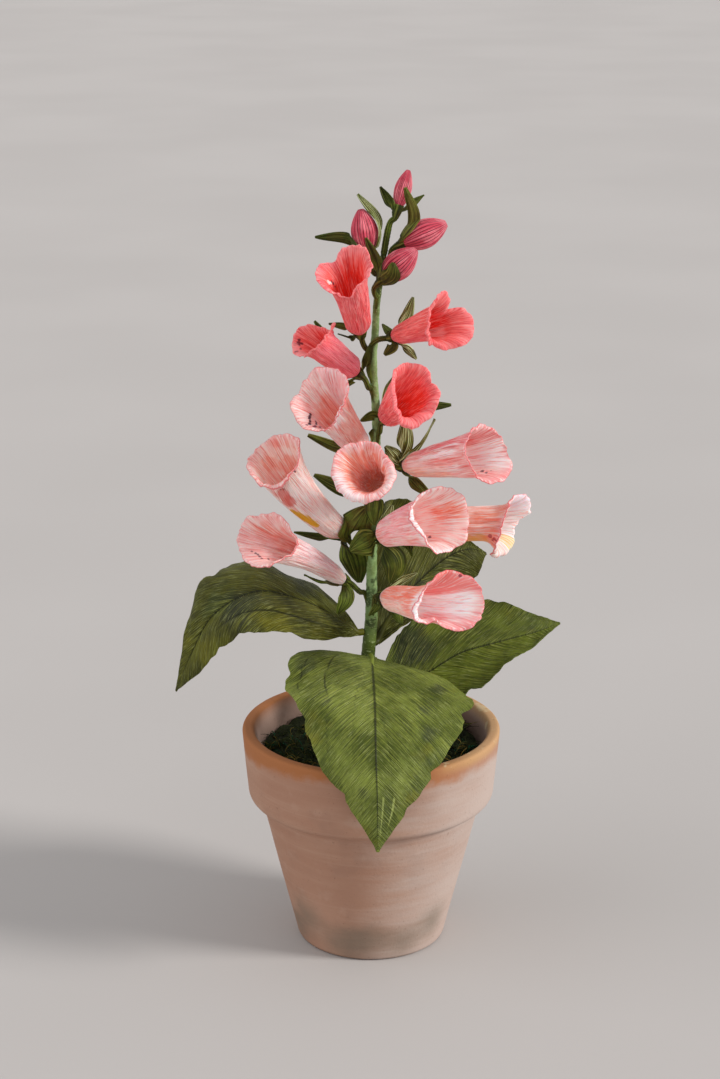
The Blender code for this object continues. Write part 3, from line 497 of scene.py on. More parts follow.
# Creases pressed along a leaf: how far across each starts and ends, from -1 to 1, where along the leaf it starts and
# ends, and its depth, which is below 0 for a raised one
LEAF_CREASES = {
    "leaf_left": ((0.62, 0.5, 0.1, 0.72, 1.0), (-0.25, -0.3, 0.3, 0.7, 0.3)),
    "leaf_front": (
        (-0.76, -0.9, 0.14, 0.46, 0.8), (-0.5, -0.58, 0.06, 0.5, 0.9), (-0.56, -0.86, 0.44, 0.7, 0.6),
        (-0.02, -0.46, 0.14, 0.76, 0.5), (0.05, 0.24, 0.42, 0.68, -0.9), (0.2, 0.54, 0.6, 0.92, -1.0),
        (0.12, 0.18, 0.66, 0.97, -0.7), (0.0, 0.34, 0.42, 0.8, 0.5),
    ),
    "leaf_right": ((-0.35, -0.3, 0.2, 0.8, 0.4), (0.4, 0.35, 0.1, 0.6, 0.4)),
    "leaf_upper": ((0.4, 0.3, 0.2, 0.8, 0.5),),
}
# Snips in a leaf's margin: side, where along it, how far that spreads, and how deep in millimetres
LEAF_SNIPS = {
    "leaf_left": ((-1, 0.62, 0.03, 2.0), (1, 0.72, 0.03, 1.6), (1, 0.4, 0.05, 1.5), (-1, 0.88, 0.03, 1.5)),
    "leaf_front": (
        (-1, 0.52, 0.035, 2.2), (-1, 0.3, 0.03, 1.6), (1, 0.44, 0.03, 2.6), (1, 0.69, 0.03, 2.8),
        (1, 0.84, 0.03, 1.8), (-1, 0.78, 0.03, 1.4),
    ),
    "leaf_right": ((1, 0.5, 0.04, 1.6), (-1, 0.7, 0.03, 1.4)),
    "leaf_upper": ((1, 0.7, 0.04, 1.8), (-1, 0.4, 0.04, 1.6)),
}
# Smudges of dark paint on a leaf: how far across and along, and the radius in millimetres
LEAF_SMUDGES = {
    "leaf_left": ((0.3, 0.55, 9), (-0.4, 0.3, 7)),
    "leaf_front": (
        (0.55, 0.46, 3.2), (0.66, 0.56, 3.8), (0.7, 0.31, 3.6), (-0.6, 0.45, 3.2), (-0.8, 0.25, 5), (-0.4, 0.78, 3),
    ),
    "leaf_right": ((-0.6, 0.35, 9), (0.5, 0.2, 7)),
    "leaf_upper": ((0.4, 0.4, 7),),
}

# Paper of the blooms: colours of the outside, the foot of the tube, the inside, its throat, the band by the lip, the
# cut edge, the streaks, the washes and the pale ribs; the streak and pale colours also serve as painted shade down in
# the crepe's creases and painted highlight on its crests. streaked, washed, patched and edged say how strong the
# streaks, washes, pale patches and edge are, deep how far up the throat's colour reaches, and the last number how
# strongly the paper glows in its own colour, a painted glow that stands in for light coming through it
CORAL = {
    "outer": (240, 92, 98), "foot": (226, 74, 84), "inner": (238, 84, 78), "throat": (226, 44, 26),
    "lip": (244, 124, 126), "edge": (244, 128, 132), "streak": (204, 44, 52), "wash": (238, 68, 62),
    "pale": (252, 160, 156), "streaked": 0.5, "washed": 0.5, "patched": 0.3, "deep": 0.62, "painted_glow": 0.11, "edged": 0.5,
}
PALE = {
    "outer": (244, 180, 176), "foot": (238, 178, 168), "inner": (243, 176, 166), "throat": (236, 148, 124),
    "lip": (247, 190, 188), "edge": (222, 92, 98), "streak": (228, 104, 96), "wash": (240, 142, 118),
    "pale": (254, 228, 224), "streaked": 0.7, "washed": 0.5, "patched": 0.6, "deep": 0.3, "painted_glow": 0.07, "edged": 0.7,
}
LOOKS = {
    "bloom_01": {**CORAL},
    "bloom_02": {**CORAL, "outer": (248, 118, 130), "foot": (240, 92, 104), "deep": 0.5},
    "bloom_03": {**CORAL, "outer": (236, 92, 98), "foot": (224, 72, 82), "deep": 0.55},
    "bloom_04": {**CORAL, "deep": 0.6},
    "bloom_05": {**PALE, "inner": (249, 188, 184), "throat": (240, 152, 130), "deep": 0.35},
    "bloom_06": {
        **PALE, "outer": (243, 212, 204), "foot": (214, 150, 134), "inner": (244, 170, 152), "pale": (252, 234, 228),
        "streaked": 0.35, "washed": 0.25, "deep": 0.2,
    },
    "bloom_07": {
        **PALE, "inner": (236, 146, 122), "throat": (232, 136, 104), "lip": (250, 180, 182), "edge": (240, 130, 132),
        "wash": (232, 124, 96), "deep": 0.35, "painted_glow": 0.08,
    },
    "bloom_08": {
        **PALE, "wash": (238, 122, 124), "lip": (246, 178, 180), "inner": (246, 190, 186), "throat": (246, 204, 200),
    },
    "bloom_09": {**PALE, "outer": (248, 184, 188), "inner": (252, 206, 202), "throat": (250, 200, 194), "painted_glow": 0.11},
    "bloom_10": {
        **PALE, "outer": (248, 172, 150), "wash": (246, 140, 112), "streak": (236, 104, 76), "inner": (250, 218, 212),
        "lip": (252, 224, 220), "throat": (246, 190, 170), "foot": (246, 160, 130), "painted_glow": 0.09,
    },
    "bloom_11": {
        **PALE, "outer": (247, 204, 202), "inner": (244, 172, 162), "wash": (240, 150, 124), "foot": (246, 216, 210),
        "washed": 0.25,
    },
    "bloom_12": {
        **PALE, "outer": (247, 168, 150), "wash": (246, 126, 100), "foot": (244, 180, 170), "inner": (252, 226, 226),
        "throat": (252, 236, 234), "lip": (244, 172, 170), "streak": (234, 132, 134), "washed": 0.3, "painted_glow": 0.13,
    },
}

# Where a lip rolls back more or less than elsewhere: the middle in degrees, how far that spreads, and the turn
CURLS = {
    "bloom_01": ((150, 60, 120), (280, 50, 20)),
    "bloom_02": ((30, 60, 130),),
    "bloom_03": ((240, 80, 170),),
    "bloom_04": ((180, 100, 150), (270, 60, 130)),
    "bloom_05": ((110, 60, 130),),
    "bloom_06": ((130, 90, 190), (280, 60, 20)),
    "bloom_07": ((200, 110, 180), (90, 60, 150)),
    "bloom_08": ((270, 80, 100), (90, 70, 20)),
    "bloom_09": ((285, 80, 210), (90, 70, 20)),
    "bloom_10": ((240, 60, 120), (190, 50, 180)),
    "bloom_11": ((90, 60, 80), (270, 70, 20)),
    "bloom_12": ((270, 70, 200), (90, 70, 20)),
}
# Creases pressed into the paper: degrees, how far each spreads, its start and end as shares, and its depth
FOLDS = {
    "bloom_01": ((75, 16, 0.55, 1.05, 1.4), (205, 14, 0.6, 1.05, 1.0), (330, 18, 0.5, 1.0, 0.8)),
    "bloom_02": ((60, 14, 0.6, 1.05, 1.0), (190, 16, 0.5, 1.0, 0.8)),
    "bloom_03": ((60, 12, 0.6, 1.05, 1.4), (196, 14, 0.5, 1.05, 1.4), (120, 10, 0.45, 0.95, 0.7)),
    "bloom_04": ((160, 18, 0.7, 1.05, 1.0), (60, 14, 0.7, 1.05, 0.9), (120, 14, 0.3, 0.9, 1.2)),
    "bloom_05": ((60, 16, 0.4, 1.02, 1.3), (88, 10, 0.5, 1.0, 0.8), (330, 18, 0.5, 1.0, 0.8)),
    "bloom_06": ((28, 12, 0.7, 1.05, 1.0), (160, 16, 0.6, 1.0, 0.8)),
    "bloom_07": ((338, 26, 0.45, 1.05, 2.4), (60, 16, 0.5, 1.0, 0.9)),
    "bloom_08": (
        (262, 12, 0.2, 0.9, 1.0), (300, 10, 0.25, 0.85, 0.8), (232, 10, 0.3, 0.95, 0.8), (4, 14, 0.8, 1.05, 1.4),
    ),
    "bloom_09": ((320, 12, 0.4, 0.95, 0.9), (258, 12, 0.5, 1.0, 0.8)),
    "bloom_10": ((285, 9, 0.3, 0.95, 0.6), (262, 9, 0.4, 1.0, 0.6), (120, 16, 0.8, 1.05, 1.4)),
    "bloom_11": ((48, 12, 0.6, 1.05, 1.0), (70, 12, 0.4, 1.0, 0.8)),
    "bloom_12": (
        (300, 12, 0.1, 0.6, 0.9), (330, 14, 0.15, 0.7, 1.0), (270, 12, 0.15, 0.6, 0.9), (240, 12, 0.2, 0.7, 0.8),
        (198, 16, 0.6, 1.05, 1.2),
    ),
}

# Areas brushed with a thin colour, and inside bloom_07 also painted light and painted shade: side, colour, strength,
# middle and spread in degrees, and from share to share
WHITE = (255, 244, 246)
BRUSHED_AND_PAINTED_LIGHT = {
    "bloom_01": (
        ("in", (240, 50, 24), 0.7, 20, 95, 0.15, 0.74), ("in", (244, 124, 136), 0.5, 262, 55, 0.84, 1.1),
        ("in", (250, 150, 152), 0.35, 40, 70, 0.84, 1.1),
    ),
    "bloom_02": (("out", (250, 134, 152), 0.5, 60, 60, 0.1, 0.8), ("in", (240, 84, 80), 0.5, 330, 60, 0.2, 0.7)),
    "bloom_03": (
        ("in", (255, 206, 202), 0.65, 122, 22, 0.3, 0.62), ("in", (228, 44, 34), 0.7, 72, 34, 0.2, 0.7),
        ("in", (246, 116, 118), 0.4, 100, 90, 0.75, 1.1), ("out", (246, 104, 92), 0.5, 300, 60, 0.1, 0.9),
    ),
    "bloom_04": (
        ("in", (242, 110, 110), 0.6, 20, 55, 0.4, 0.82), ("in", (240, 66, 40), 0.75, 90, 42, 0.1, 0.66),
        ("in", (248, 128, 132), 0.5, 180, 150, 0.78, 1.1),
    ),
    "bloom_05": (
        ("in", WHITE, 0.8, 112, 26, 0.88, 1.1), ("out", WHITE, 0.75, 122, 26, 0.84, 1.1),
        ("in", (238, 140, 104), 0.4, 290, 40, 0.4, 0.7), ("in", (246, 190, 196), 0.5, 20, 50, 0.5, 1.1),
        ("out", (246, 166, 140), 0.5, 90, 50, 0.3, 0.8),
    ),
    "bloom_06": (("out", WHITE, 0.4, 95, 40, 0.3, 0.8), ("out", (196, 112, 92), 0.6, 90, 90, -0.1, 0.07)),
    "bloom_07": (
        # Inside bloom_07: painted light on the wall at 300 degrees, a greyer brown deeper in at 268 degrees, and
        # painted shade at 80 degrees; the whites by the lip are the paper's colour
        ("in", (248, 158, 134), 0.85, 300, 55, 0.42, 0.84), ("in", (206, 142, 126), 0.75, 268, 60, 0.1, 0.52),
        ("in", (176, 96, 74), 0.6, 80, 80, 0.05, 0.5), ("in", (255, 226, 230), 0.75, 222, 40, 0.84, 1.1),
        ("in", (255, 226, 224), 0.5, 110, 30, 0.86, 1.1),
    ),
    "bloom_08": (
        ("out", (236, 108, 122), 0.65, 334, 24, 0.25, 0.95), ("out", WHITE, 0.9, 302, 13, 0.3, 0.82),
        ("out", (240, 104, 96), 0.55, 270, 14, 0.4, 0.95), ("out", (250, 196, 166), 0.6, 232, 30, 0.05, 0.6),
        ("out", WHITE, 0.5, 250, 16, 0.3, 0.8), ("in", WHITE, 0.75, 100, 34, 0.3, 0.86),
        ("in", (228, 100, 100), 0.6, 48, 22, 0.5, 1.0), ("in", (238, 110, 110), 0.5, 172, 26, 0.7, 1.1),
        ("out", WHITE, 0.7, 315, 45, 0.93, 1.1),
    ),
    "bloom_09": (
        ("in", WHITE, 0.9, 312, 62, 0.9, 1.1), ("out", WHITE, 0.9, 300, 75, 0.84, 1.1),
        ("in", (242, 116, 78), 0.65, 74, 18, 0.56, 0.84), ("in", (253, 222, 220), 0.75, 80, 60, 0.2, 0.56),
        ("out", (250, 190, 206), 0.5, 335, 30, 0.3, 0.85), ("in", (250, 196, 190), 0.6, 140, 40, 0.5, 0.95),
        ("in", WHITE, 0.5, 200, 40, 0.85, 1.1),
    ),
    "bloom_10": (
        ("in", (242, 224, 238), 0.75, 30, 40, 0.66, 1.1), ("in", WHITE, 0.6, 100, 50, 0.6, 1.1),
        ("in", (238, 208, 104), 0.7, 160, 14, 0.72, 1.0), ("out", (248, 172, 178), 0.6, 280, 90, 0.86, 1.1),
    ),
    "bloom_11": (
        ("in", (236, 124, 92), 0.45, 300, 26, 0.4, 0.8), ("in", (244, 184, 184), 0.5, 230, 60, 0.6, 1.0),
        ("out", (250, 206, 214), 0.6, 40, 60, 0.2, 0.8),
    ),
    "bloom_12": (
        ("in", WHITE, 0.95, 104, 40, 0.1, 0.8), ("in", (240, 98, 88), 0.8, 32, 40, 0.3, 1.1),
        ("in", (240, 116, 120), 0.6, 172, 36, 0.4, 1.1), ("out", (248, 124, 88), 0.8, 335, 52, 0.1, 0.8),
        ("out", (252, 206, 190), 0.5, 250, 40, 0.0, 0.6), ("out", WHITE, 0.8, 285, 34, 0.8, 1.1),
        ("in", WHITE, 0.8, 275, 50, 0.88, 1.1), ("in", (246, 150, 152), 0.5, 95, 60, 0.86, 1.1),
    ),
}

# Marks dabbed on the blooms: side, colour, strength, and for each dab the degrees, share and radius in millimetres
INK = (62, 22, 44)
WINE = (120, 26, 60)
STAIN = (206, 96, 84)
YELLOW = (214, 160, 22)
MARKS = {
    "bloom_01": (
        ("in", (255, 222, 218), 0.8, ((258, 0.775, 0.9), (264, 0.745, 0.6))),
        ("in", INK, 0.85, ((276, 0.7, 0.6), (279, 0.645, 0.5), (272, 0.735, 0.5))),
    ),
    "bloom_02": (
        ("in", (100, 16, 34), 0.9, ((241, 0.84, 0.9), (236, 0.88, 0.7), (217, 0.88, 0.8), (251, 0.84, 0.6),
                                    (228, 0.83, 0.5), (244, 0.8, 0.6))),
        ("in", (252, 150, 150), 0.7, ((200, 0.9, 2.6), (230, 0.93, 1.6))),
    ),
    "bloom_04": (("in", (110, 20, 30), 0.85, ((151, 0.71, 0.6), (149, 0.66, 0.7), (147, 0.61, 0.5))),),
    "bloom_05": (
        ("in", INK, 0.95, ((239, 0.72, 0.7), (233, 0.745, 0.65), (227, 0.775, 0.7), (220, 0.8, 0.6), (212, 0.825, 0.7),
                           (222, 0.72, 0.65), (215, 0.745, 0.6), (208, 0.71, 0.6))),
        ("in", WINE, 0.95, ((202, 0.735, 0.7), (206, 0.78, 0.6), (200, 0.82, 0.7), (208, 0.86, 0.6))),
    ),
    "bloom_06": (
        ("out", INK, 0.8, ((73, 0.95, 0.6), (155, 0.93, 0.4), (143, 0.89, 0.4), (148, 0.85, 0.35), (138, 0.84, 0.4),
                           (70, 0.88, 0.35))),
        ("out", STAIN, 0.75, ((150, 0.79, 2.6), (140, 0.72, 2.2), (157, 0.7, 2.0))),
        ("out", YELLOW, 0.95, ((160, 0.585, 1.5), (157, 0.55, 1.8), (153, 0.51, 1.9), (149, 0.47, 1.9),
                               (146, 0.44, 1.8), (143, 0.4, 1.6), (141, 0.365, 1.4), (139, 0.33, 1.1))),
    ),
    "bloom_08": (("in", INK, 0.8, ((151, 0.69, 0.7), (157, 0.74, 0.6), (161, 0.67, 0.5), (148, 0.76, 0.4))),),
    "bloom_09": (("in", INK, 0.8, ((143, 0.56, 0.8), (146, 0.5, 0.6), (150, 0.46, 0.4))),),
    "bloom_10": (
        ("out", (170, 60, 70), 0.75, ((243, 0.81, 0.7), (239, 0.86, 0.6), (237, 0.89, 0.6), (245, 0.93, 0.6),
                                      (232, 0.84, 0.5))),
        ("out", (232, 170, 84), 0.7, ((219, 0.71, 3.0), (215, 0.6, 3.0))),
    ),
    "bloom_11": (
        ("in", INK, 0.8, ((229, 0.82, 0.55), (223, 0.8, 0.6), (217, 0.79, 0.6), (210, 0.785, 0.6), (203, 0.78, 0.6),
                          (197, 0.74, 0.5))),
    ),
    "bloom_12": (("in", WINE, 0.7, ((39, 0.88, 0.7),)),),
}

# Sepals striped in pale green, as their flower and number
STRIPED = (
    ("bloom_03", 0), ("bloom_03", 3), ("bloom_04", 0), ("bloom_08", 0), ("bloom_08", 1), ("bloom_08", 3),
    ("bloom_09", 2), ("bloom_12", 0), ("bud_2", 0),
)
# Dark and fair green of each leaf; leaf_upper's are far darker, which is painted shade, as that leaf lies in the shade
# of other parts
LEAF_GREENS_AND_SHADE = {
    "leaf_left": ((62, 62, 8), (98, 98, 18)),
    "leaf_front": ((76, 88, 18), (130, 142, 58)),
    "leaf_right": ((66, 78, 10), (112, 126, 36)),
    "leaf_upper": ((44, 46, 4), (78, 80, 12)),
}
# How much farther a rib of the paper runs along the leaf than across it
LEAF_SLOPES = {"leaf_left": 2.2, "leaf_front": 0.85, "leaf_right": 1.3, "leaf_upper": 1.8}


# Materials


class Value:
    """A number or a vector that varies over a surface. Sums and products of numbers add Math nodes."""

    def __init__(self, finish, socket):
        self.finish = finish
        self.socket = socket

    def _math(self, operation, *terms):
        return self.finish.node("ShaderNodeMath", {"operation": operation}, dict(enumerate(terms)))

    def __add__(self, other):
        return self._math("ADD", self, other)

    def __radd__(self, other):
        return self._math("ADD", other, self)

    def __sub__(self, other):
        return self._math("SUBTRACT", self, other)

    def __rsub__(self, other):
        return self._math("SUBTRACT", other, self)

    def __mul__(self, other):
        return self._math("MULTIPLY", self, other)

    def __rmul__(self, other):
        return self._math("MULTIPLY", other, self)

    def sine(self):
        return self._math("SINE", self)

    def cosine(self):
        return self._math("COSINE", self)

    def band(self, low, high):
        """0 below low and 1 above high, with a soft step between them; the other way round if low is over high."""
        return self.finish.node(
            "ShaderNodeMapRange", {"interpolation_type": "SMOOTHSTEP"},
            {"Value": self, "From Min": min(low, high), "From Max": max(low, high),
             "To Min": 0.0 if low < high else 1.0, "To Max": 1.0 if low < high else 0.0},
        )


class Finish:
    """One material and the nodes that vary it."""

    def __init__(self, name, roughness, sheen=0.0, painted_glow=0.0):
        self.material = bpy.data.materials.new(name)
        self.material.use_nodes = True
        self.tree = self.material.node_tree
        self.shader = self.tree.nodes["Principled BSDF"]
        self.shader.inputs["Roughness"].default_value = roughness
        self.shader.inputs["Sheen Weight"].default_value = sheen
        self.shader.inputs["Specular IOR Level"].default_value = 0.25
        # A painted glow: the surface gives off a little light of its own colour, though it is no lamp
        self.shader.inputs["Emission Strength"].default_value = painted_glow

    def node(self, kind, settings=None, sockets=None, out=0):
        """A node of this kind, its settings made first, then its sockets given values or links."""
        made = self.tree.nodes.new(kind)
        for name, value in (settings or {}).items():
            setattr(made, name, value)
        for key, value in (sockets or {}).items():
            if isinstance(value, Value):
                self.tree.links.new(value.socket, made.inputs[key])
            elif isinstance(value, tuple) and made.inputs[key].type == "RGBA":
                made.inputs[key].default_value = (*value, 1)
            else:
                made.inputs[key].default_value = value
        return Value(self, made.outputs[out])

    def place(self):
        """The point of the surface, in metres."""
        return self.node("ShaderNodeTexCoord", out="Object")

    def parts(self, vector):
        """The three numbers of a vector."""
        split = self.node("ShaderNodeSeparateXYZ", sockets={0: vector}).socket.node
        return [Value(self, split.outputs[k]) for k in range(3)]

    def vector(self, x, y, z=0.0):
        """A vector of three numbers."""
        return self.node("ShaderNodeCombineXYZ", sockets={0: x, 1: y, 2: z})

    def paper(self):
        """Shares of the way round or across the paper, and along it."""
        return self.parts(self.node("ShaderNodeUVMap", {"uv_map": "paper"}))[:2]

    def painted(self, name):
        """A number kept on the points of the mesh."""
        return self.node("ShaderNodeAttribute", {"attribute_name": name}, out="Fac")

    def cloud(self, vector, scale, detail=2.0, roughness=0.5):
        """Soft noise, mostly from 0.3 to 0.7."""
        return self.node(
            "ShaderNodeTexNoise", sockets={"Vector": vector, "Scale": scale, "Detail": detail, "Roughness": roughness}
        )

    def apart(self, vector, place):
        """How far the vector is from a place."""
        return self.node("ShaderNodeVectorMath", {"operation": "DISTANCE"}, {0: vector, 1: place}, out="Value")

    def mix(self, share, first, second):
        """From the first colour to the second as share goes from 0 to 1."""
        return self.node("ShaderNodeMix", {"data_type": "RGBA"}, {0: share, 6: first, 7: second}, out=2)

    def coat(self, color, *coats):
        """The colour with coats laid over it in turn, each a share and a screen colour."""
        for share, laid_color in coats:
            color = self.mix(share, color, tint(*laid_color))
        return color

    def close(self, color, height=None, relief=0.0002, strength=0.6):
        """Feed the shader its colour, also as a painted glow of that colour where the material has one, and the relief
        that a height gives.
        """
        self.tree.links.new(color.socket, self.shader.inputs["Base Color"])
        # The painted glow takes the surface's own colour
        if self.shader.inputs["Emission Strength"].default_value:
            self.tree.links.new(color.socket, self.shader.inputs["Emission Color"])
        if height is not None:
            bump = self.node("ShaderNodeBump", sockets={"Strength": strength, "Distance": relief, "Height": height})
            self.tree.links.new(bump.socket, self.shader.inputs["Normal"])
        return self.material


def on_side(table, flower, side):
    """What a table has for the inside or the outside of this bloom."""
    return [row[1:] for row in table.get(flower.name, ()) if row[0] == side]


def petal_paper(flower, side):
    """Crepe paper of a bloom's inside or outside, brushed with colour by hand, with painted shade and highlight over
    its creases and grain, and a faint painted glow of its own colour.
    """
    seed = FLOWERS.index(flower) * PAPER_SEED
    look = LOOKS[flower.name]
    inside = side == "in"
    # The paper gives off a little light of its own colour, more on the inside: a painted glow standing in for light
    # that comes through the paper
    painted_glow = look["painted_glow"] if inside else look["painted_glow"] * 0.8
    finish = Finish(f"{flower.name} paper {side}side", roughness=0.62, sheen=0.1, painted_glow=painted_glow)
    finish.shader.inputs["Subsurface Weight"].default_value = 0.6
    finish.shader.inputs["Subsurface Radius"].default_value = (1, 0.5, 0.42)
    finish.shader.inputs["Subsurface Scale"].default_value = PAPER_SCATTER
    around, along = finish.paper()
    turn = around * TURN
    cosine, sine = turn.cosine(), turn.sine()
    crease = finish.painted("crease")

    def drawn_out(fineness, run, shift=0.0):
        spot = finish.vector(cosine * fineness, sine * fineness, along * run + seed + shift)
        return finish.cloud(spot, 1.0, 2.0, 0.6)

    grain, fibre, streak = drawn_out(19, 5), drawn_out(8, 1.3), drawn_out(5, 1.0, 9.0)
    wash = finish.cloud(finish.place(), 85.0, 2.0, 0.5)
    patch = finish.cloud(finish.place(), 150.0, 3.0, 0.55)
    color = finish.coat(
        tint(*look["inner" if inside else "outer"]),
        ((patch + fibre * 0.4).band(0.62, 0.8) * look["patched"], look["pale"]),
        ((wash + streak * 0.5).band(0.74, 0.9) * look["washed"], look["wash"]),
        (streak.band(0.54, 0.66) * wash.band(0.3, 0.6) * look["streaked"], look["streak"]),
    )
    if inside:
        color = finish.coat(
            color,
            ((along + fibre * 0.25).band(look["deep"] + 0.3, look["deep"] + 0.08), look["throat"]),
            ((along + grain * 0.1).band(0.84, 0.95) * 0.8, look["lip"]),
        )
    else:
        color = finish.coat(
            color,
            ((along + grain * 0.1).band(0.24, 0.06), look["foot"]),
            ((along + grain * 0.06).band(0.88, 0.95) * 0.7, look["lip"]),
        )
    # Some of the brushed areas are painted light and painted shade, as the table says
    for laid_color, strength, degrees, spread, low, high in on_side(BRUSHED_AND_PAINTED_LIGHT, flower, side):
        middle = math.radians(degrees)
        beside = cosine * math.cos(middle) + sine * math.sin(middle) + (streak - 0.5) * 0.3
        cover = beside.band(math.cos(math.radians(spread * 1.25)), math.cos(math.radians(spread * 0.75)))
        reach = along + (fibre - 0.5) * 0.25
        cover = cover * reach.band(low - 0.05, low + 0.05) * reach.band(high + 0.05, high - 0.05)
        color = finish.coat(color, (cover * strength, laid_color))
    color = finish.coat(
        color,
        # Paler on the raised grain and redder in the low grain: partly the paper's own colour, partly painted highlight
        # and painted shade
        (grain.band(0.52, 0.64) * 0.65, look["pale"]),
        (grain.band(0.48, 0.34) * 0.55, look["streak"]),
        # Darker down in the crepe creases and paler on their crests: painted shade and painted highlight
        (crease.band(0.15, 0.8) * 0.35, look["streak"]),
        (crease.band(0.1, 0.0) * 0.25, look["pale"]),
        ((along + (grain - 0.5) * 0.02).band(0.975, 0.988) * look["edged"], look["edge"]),
    )
    for ink, strength, dabs in on_side(MARKS, flower, side):
        for degrees, share, radius in dabs:
            away = finish.apart(finish.place(), bloom_point(flower, degrees, share, seed))
            away = away + (grain - 0.5) * radius * MM * 1.6
            color = finish.coat(color, (away.band(radius * 1.5 * MM, radius * 0.9 * MM) * strength, ink))
    return finish.close(color, grain * 0.6 - crease * 0.4, 0.0006, 0.9)


def bud_paper():
    """Rose crepe paper gathered in pleats, with painted shade down in them, painted highlight and shade over its grain,
    and a faint painted glow.
    """
    finish = Finish("bud paper", roughness=0.6, sheen=0.1, painted_glow=0.04)
    around, along = finish.paper()
    turn = around * TURN
    grain = finish.cloud(finish.vector(turn.cosine() * 14, turn.sine() * 14, along * 2), 1.0, 3.0, 0.6)
    color = finish.coat(
        tint(216, 76, 96),
        (finish.cloud(finish.place(), 160.0, 2.0).band(0.4, 0.62), (242, 128, 140)),
        # Darker in the low grain and paler on the raised grain: partly the paper's own colour, partly painted shade and
        # painted highlight
        (grain.band(0.48, 0.36) * 0.6, (176, 40, 64)),
        (grain.band(0.54, 0.68) * 0.6, (250, 172, 178)),
        # Painted shade down in the pleats
        (finish.painted("fold").band(0.12, 0.55) * 0.9, (132, 14, 40)),
    )
    return finish.close(color, grain, 0.0005, 0.9)


def sepal_paper():
    """Olive crepe paper with strong ribs along each sepal, browner or greener from one to the next, some striped, with
    painted highlight on the ribs' ridges, painted shade in their valleys and a faint painted glow.
    """
    finish = Finish("sepal paper", roughness=0.6, painted_glow=0.01)
    across, along = finish.paper()
    shade = finish.painted("tint")
    ribs = finish.cloud(finish.vector(across * 15, along * 1.4, shade * 40), 1.0, 2.0, 0.55)
    patch = finish.cloud(finish.place(), 130.0, 3.0, 0.6)
    color = finish.coat(
        tint(62, 74, 16),
        ((patch + shade * 0.4).band(0.5, 0.85), (104, 120, 36)),
        ((patch - shade * 0.4).band(0.4, 0.14) * 0.6, (104, 76, 24)),
        # Painted highlight on the ridges of the ribs
        (ribs.band(0.54, 0.68) * 0.5, (160, 162, 76)),
        (ribs.band(0.5, 0.56) * shade.band(0.7, 0.8), (192, 204, 146)),
        # Painted shade down between the ribs
        (ribs.band(0.49, 0.36) * 0.8, (34, 38, 6)),
    )
    return finish.close(color, ribs, 0.001, 1.0)


def leaf_paper(name, smudges):
    """Olive crepe paper whose fine ribs run straight from the midrib out and towards the tip, painted darker in their
    valleys and lighter on their ridges as shade and highlight, with painted shade in the pressed creases, a painted
    highlight on the raised ones and a faint painted glow.
    """
    dark, fair = LEAF_GREENS_AND_SHADE[name]
    finish = Finish(name + " paper", roughness=0.5, painted_glow=0.01)
    reach, run, fold = finish.painted("reach"), finish.painted("run"), finish.painted("fold")
    bend = finish.cloud(finish.place(), 60.0, 2.0) * 1.8
    slope = LEAF_SLOPES[name]
    size = math.hypot(1, slope)
    ahead, aside = (run - reach * slope) * (1 / size), (reach + run * slope) * (1 / size)
    ribs = finish.cloud(finish.vector(ahead * 2.6 + bend, aside * 0.06), 1.0, 1.0, 0.4)
    fine = finish.cloud(finish.vector(ahead * 4.4 + bend, aside * 0.2), 1.0, 2.0, 0.5)
    patch = finish.cloud(finish.place(), 50.0, 4.0, 0.6)
    smear = finish.cloud(finish.place(), 32.0, 3.0, 0.65)
    color = finish.coat(
        tint(*dark),
        (patch.band(0.36, 0.64), fair),
        (smear.band(0.43, 0.3) * 0.6, (124, 118, 20)),
        (smear.band(0.56, 0.68) * 0.5, (62, 78, 44)),
    )
    for place, radius in smudges:
        away = finish.apart(finish.place(), place) + (ribs + patch - 1.0) * radius * MM * 1.8
        color = finish.coat(color, (away.band(radius * 1.3 * MM, radius * 0.4 * MM) * 0.55, (46, 52, 44)))
    color = finish.coat(
        color,
        # Painted shade in the valleys of the ribs and painted highlight on their ridges
        (ribs.band(0.5, 0.34) * 0.42, (42, 50, 8)),
        (ribs.band(0.52, 0.68) * 0.34, (150, 156, 64)),
        (fine.band(0.46, 0.34) * 0.4, (36, 44, 10)),
        (fine.band(0.56, 0.68) * 0.4, (178, 184, 118)),
        # Painted shade down in the pressed midrib, veins and creases, and a painted highlight along the raised creases
        (fold.band(0.15, 0.9) * 0.8, (26, 30, 10)),
        (fold.band(-0.1, -0.6) * 0.55, (176, 186, 104)),
    )
    return finish.close(color, ribs + fine * 0.4, 0.0009, 1.0)


def stem_tape():
    """Stretchy green tape wound round a wire: dark low down and at the top, minty between."""
    finish = Finish("stem tape", roughness=0.55)
    around, along = finish.paper()
    height = finish.parts(finish.place())[2]
    patch = finish.cloud(finish.place(), 220.0, 3.0, 0.6)
    grain = finish.cloud(finish.vector(around * 9, along * 260), 1.0, 2.0, 0.6)
    uneven = height + patch * 0.02
    color = finish.coat(
        tint(72, 86, 22),
        (uneven.band(0.138, 0.165), (140, 170, 110)),
        (uneven.band(0.272, 0.29), (66, 80, 26)),
        (patch.band(0.5, 0.62) * 0.45, (100, 116, 46)),
        (patch.band(0.44, 0.34) * 0.7, (34, 44, 12)),
        (grain.band(0.56, 0.7) * 0.5, (176, 190, 134)),
    )
    return finish.close(color, grain, 0.0004, 0.8)


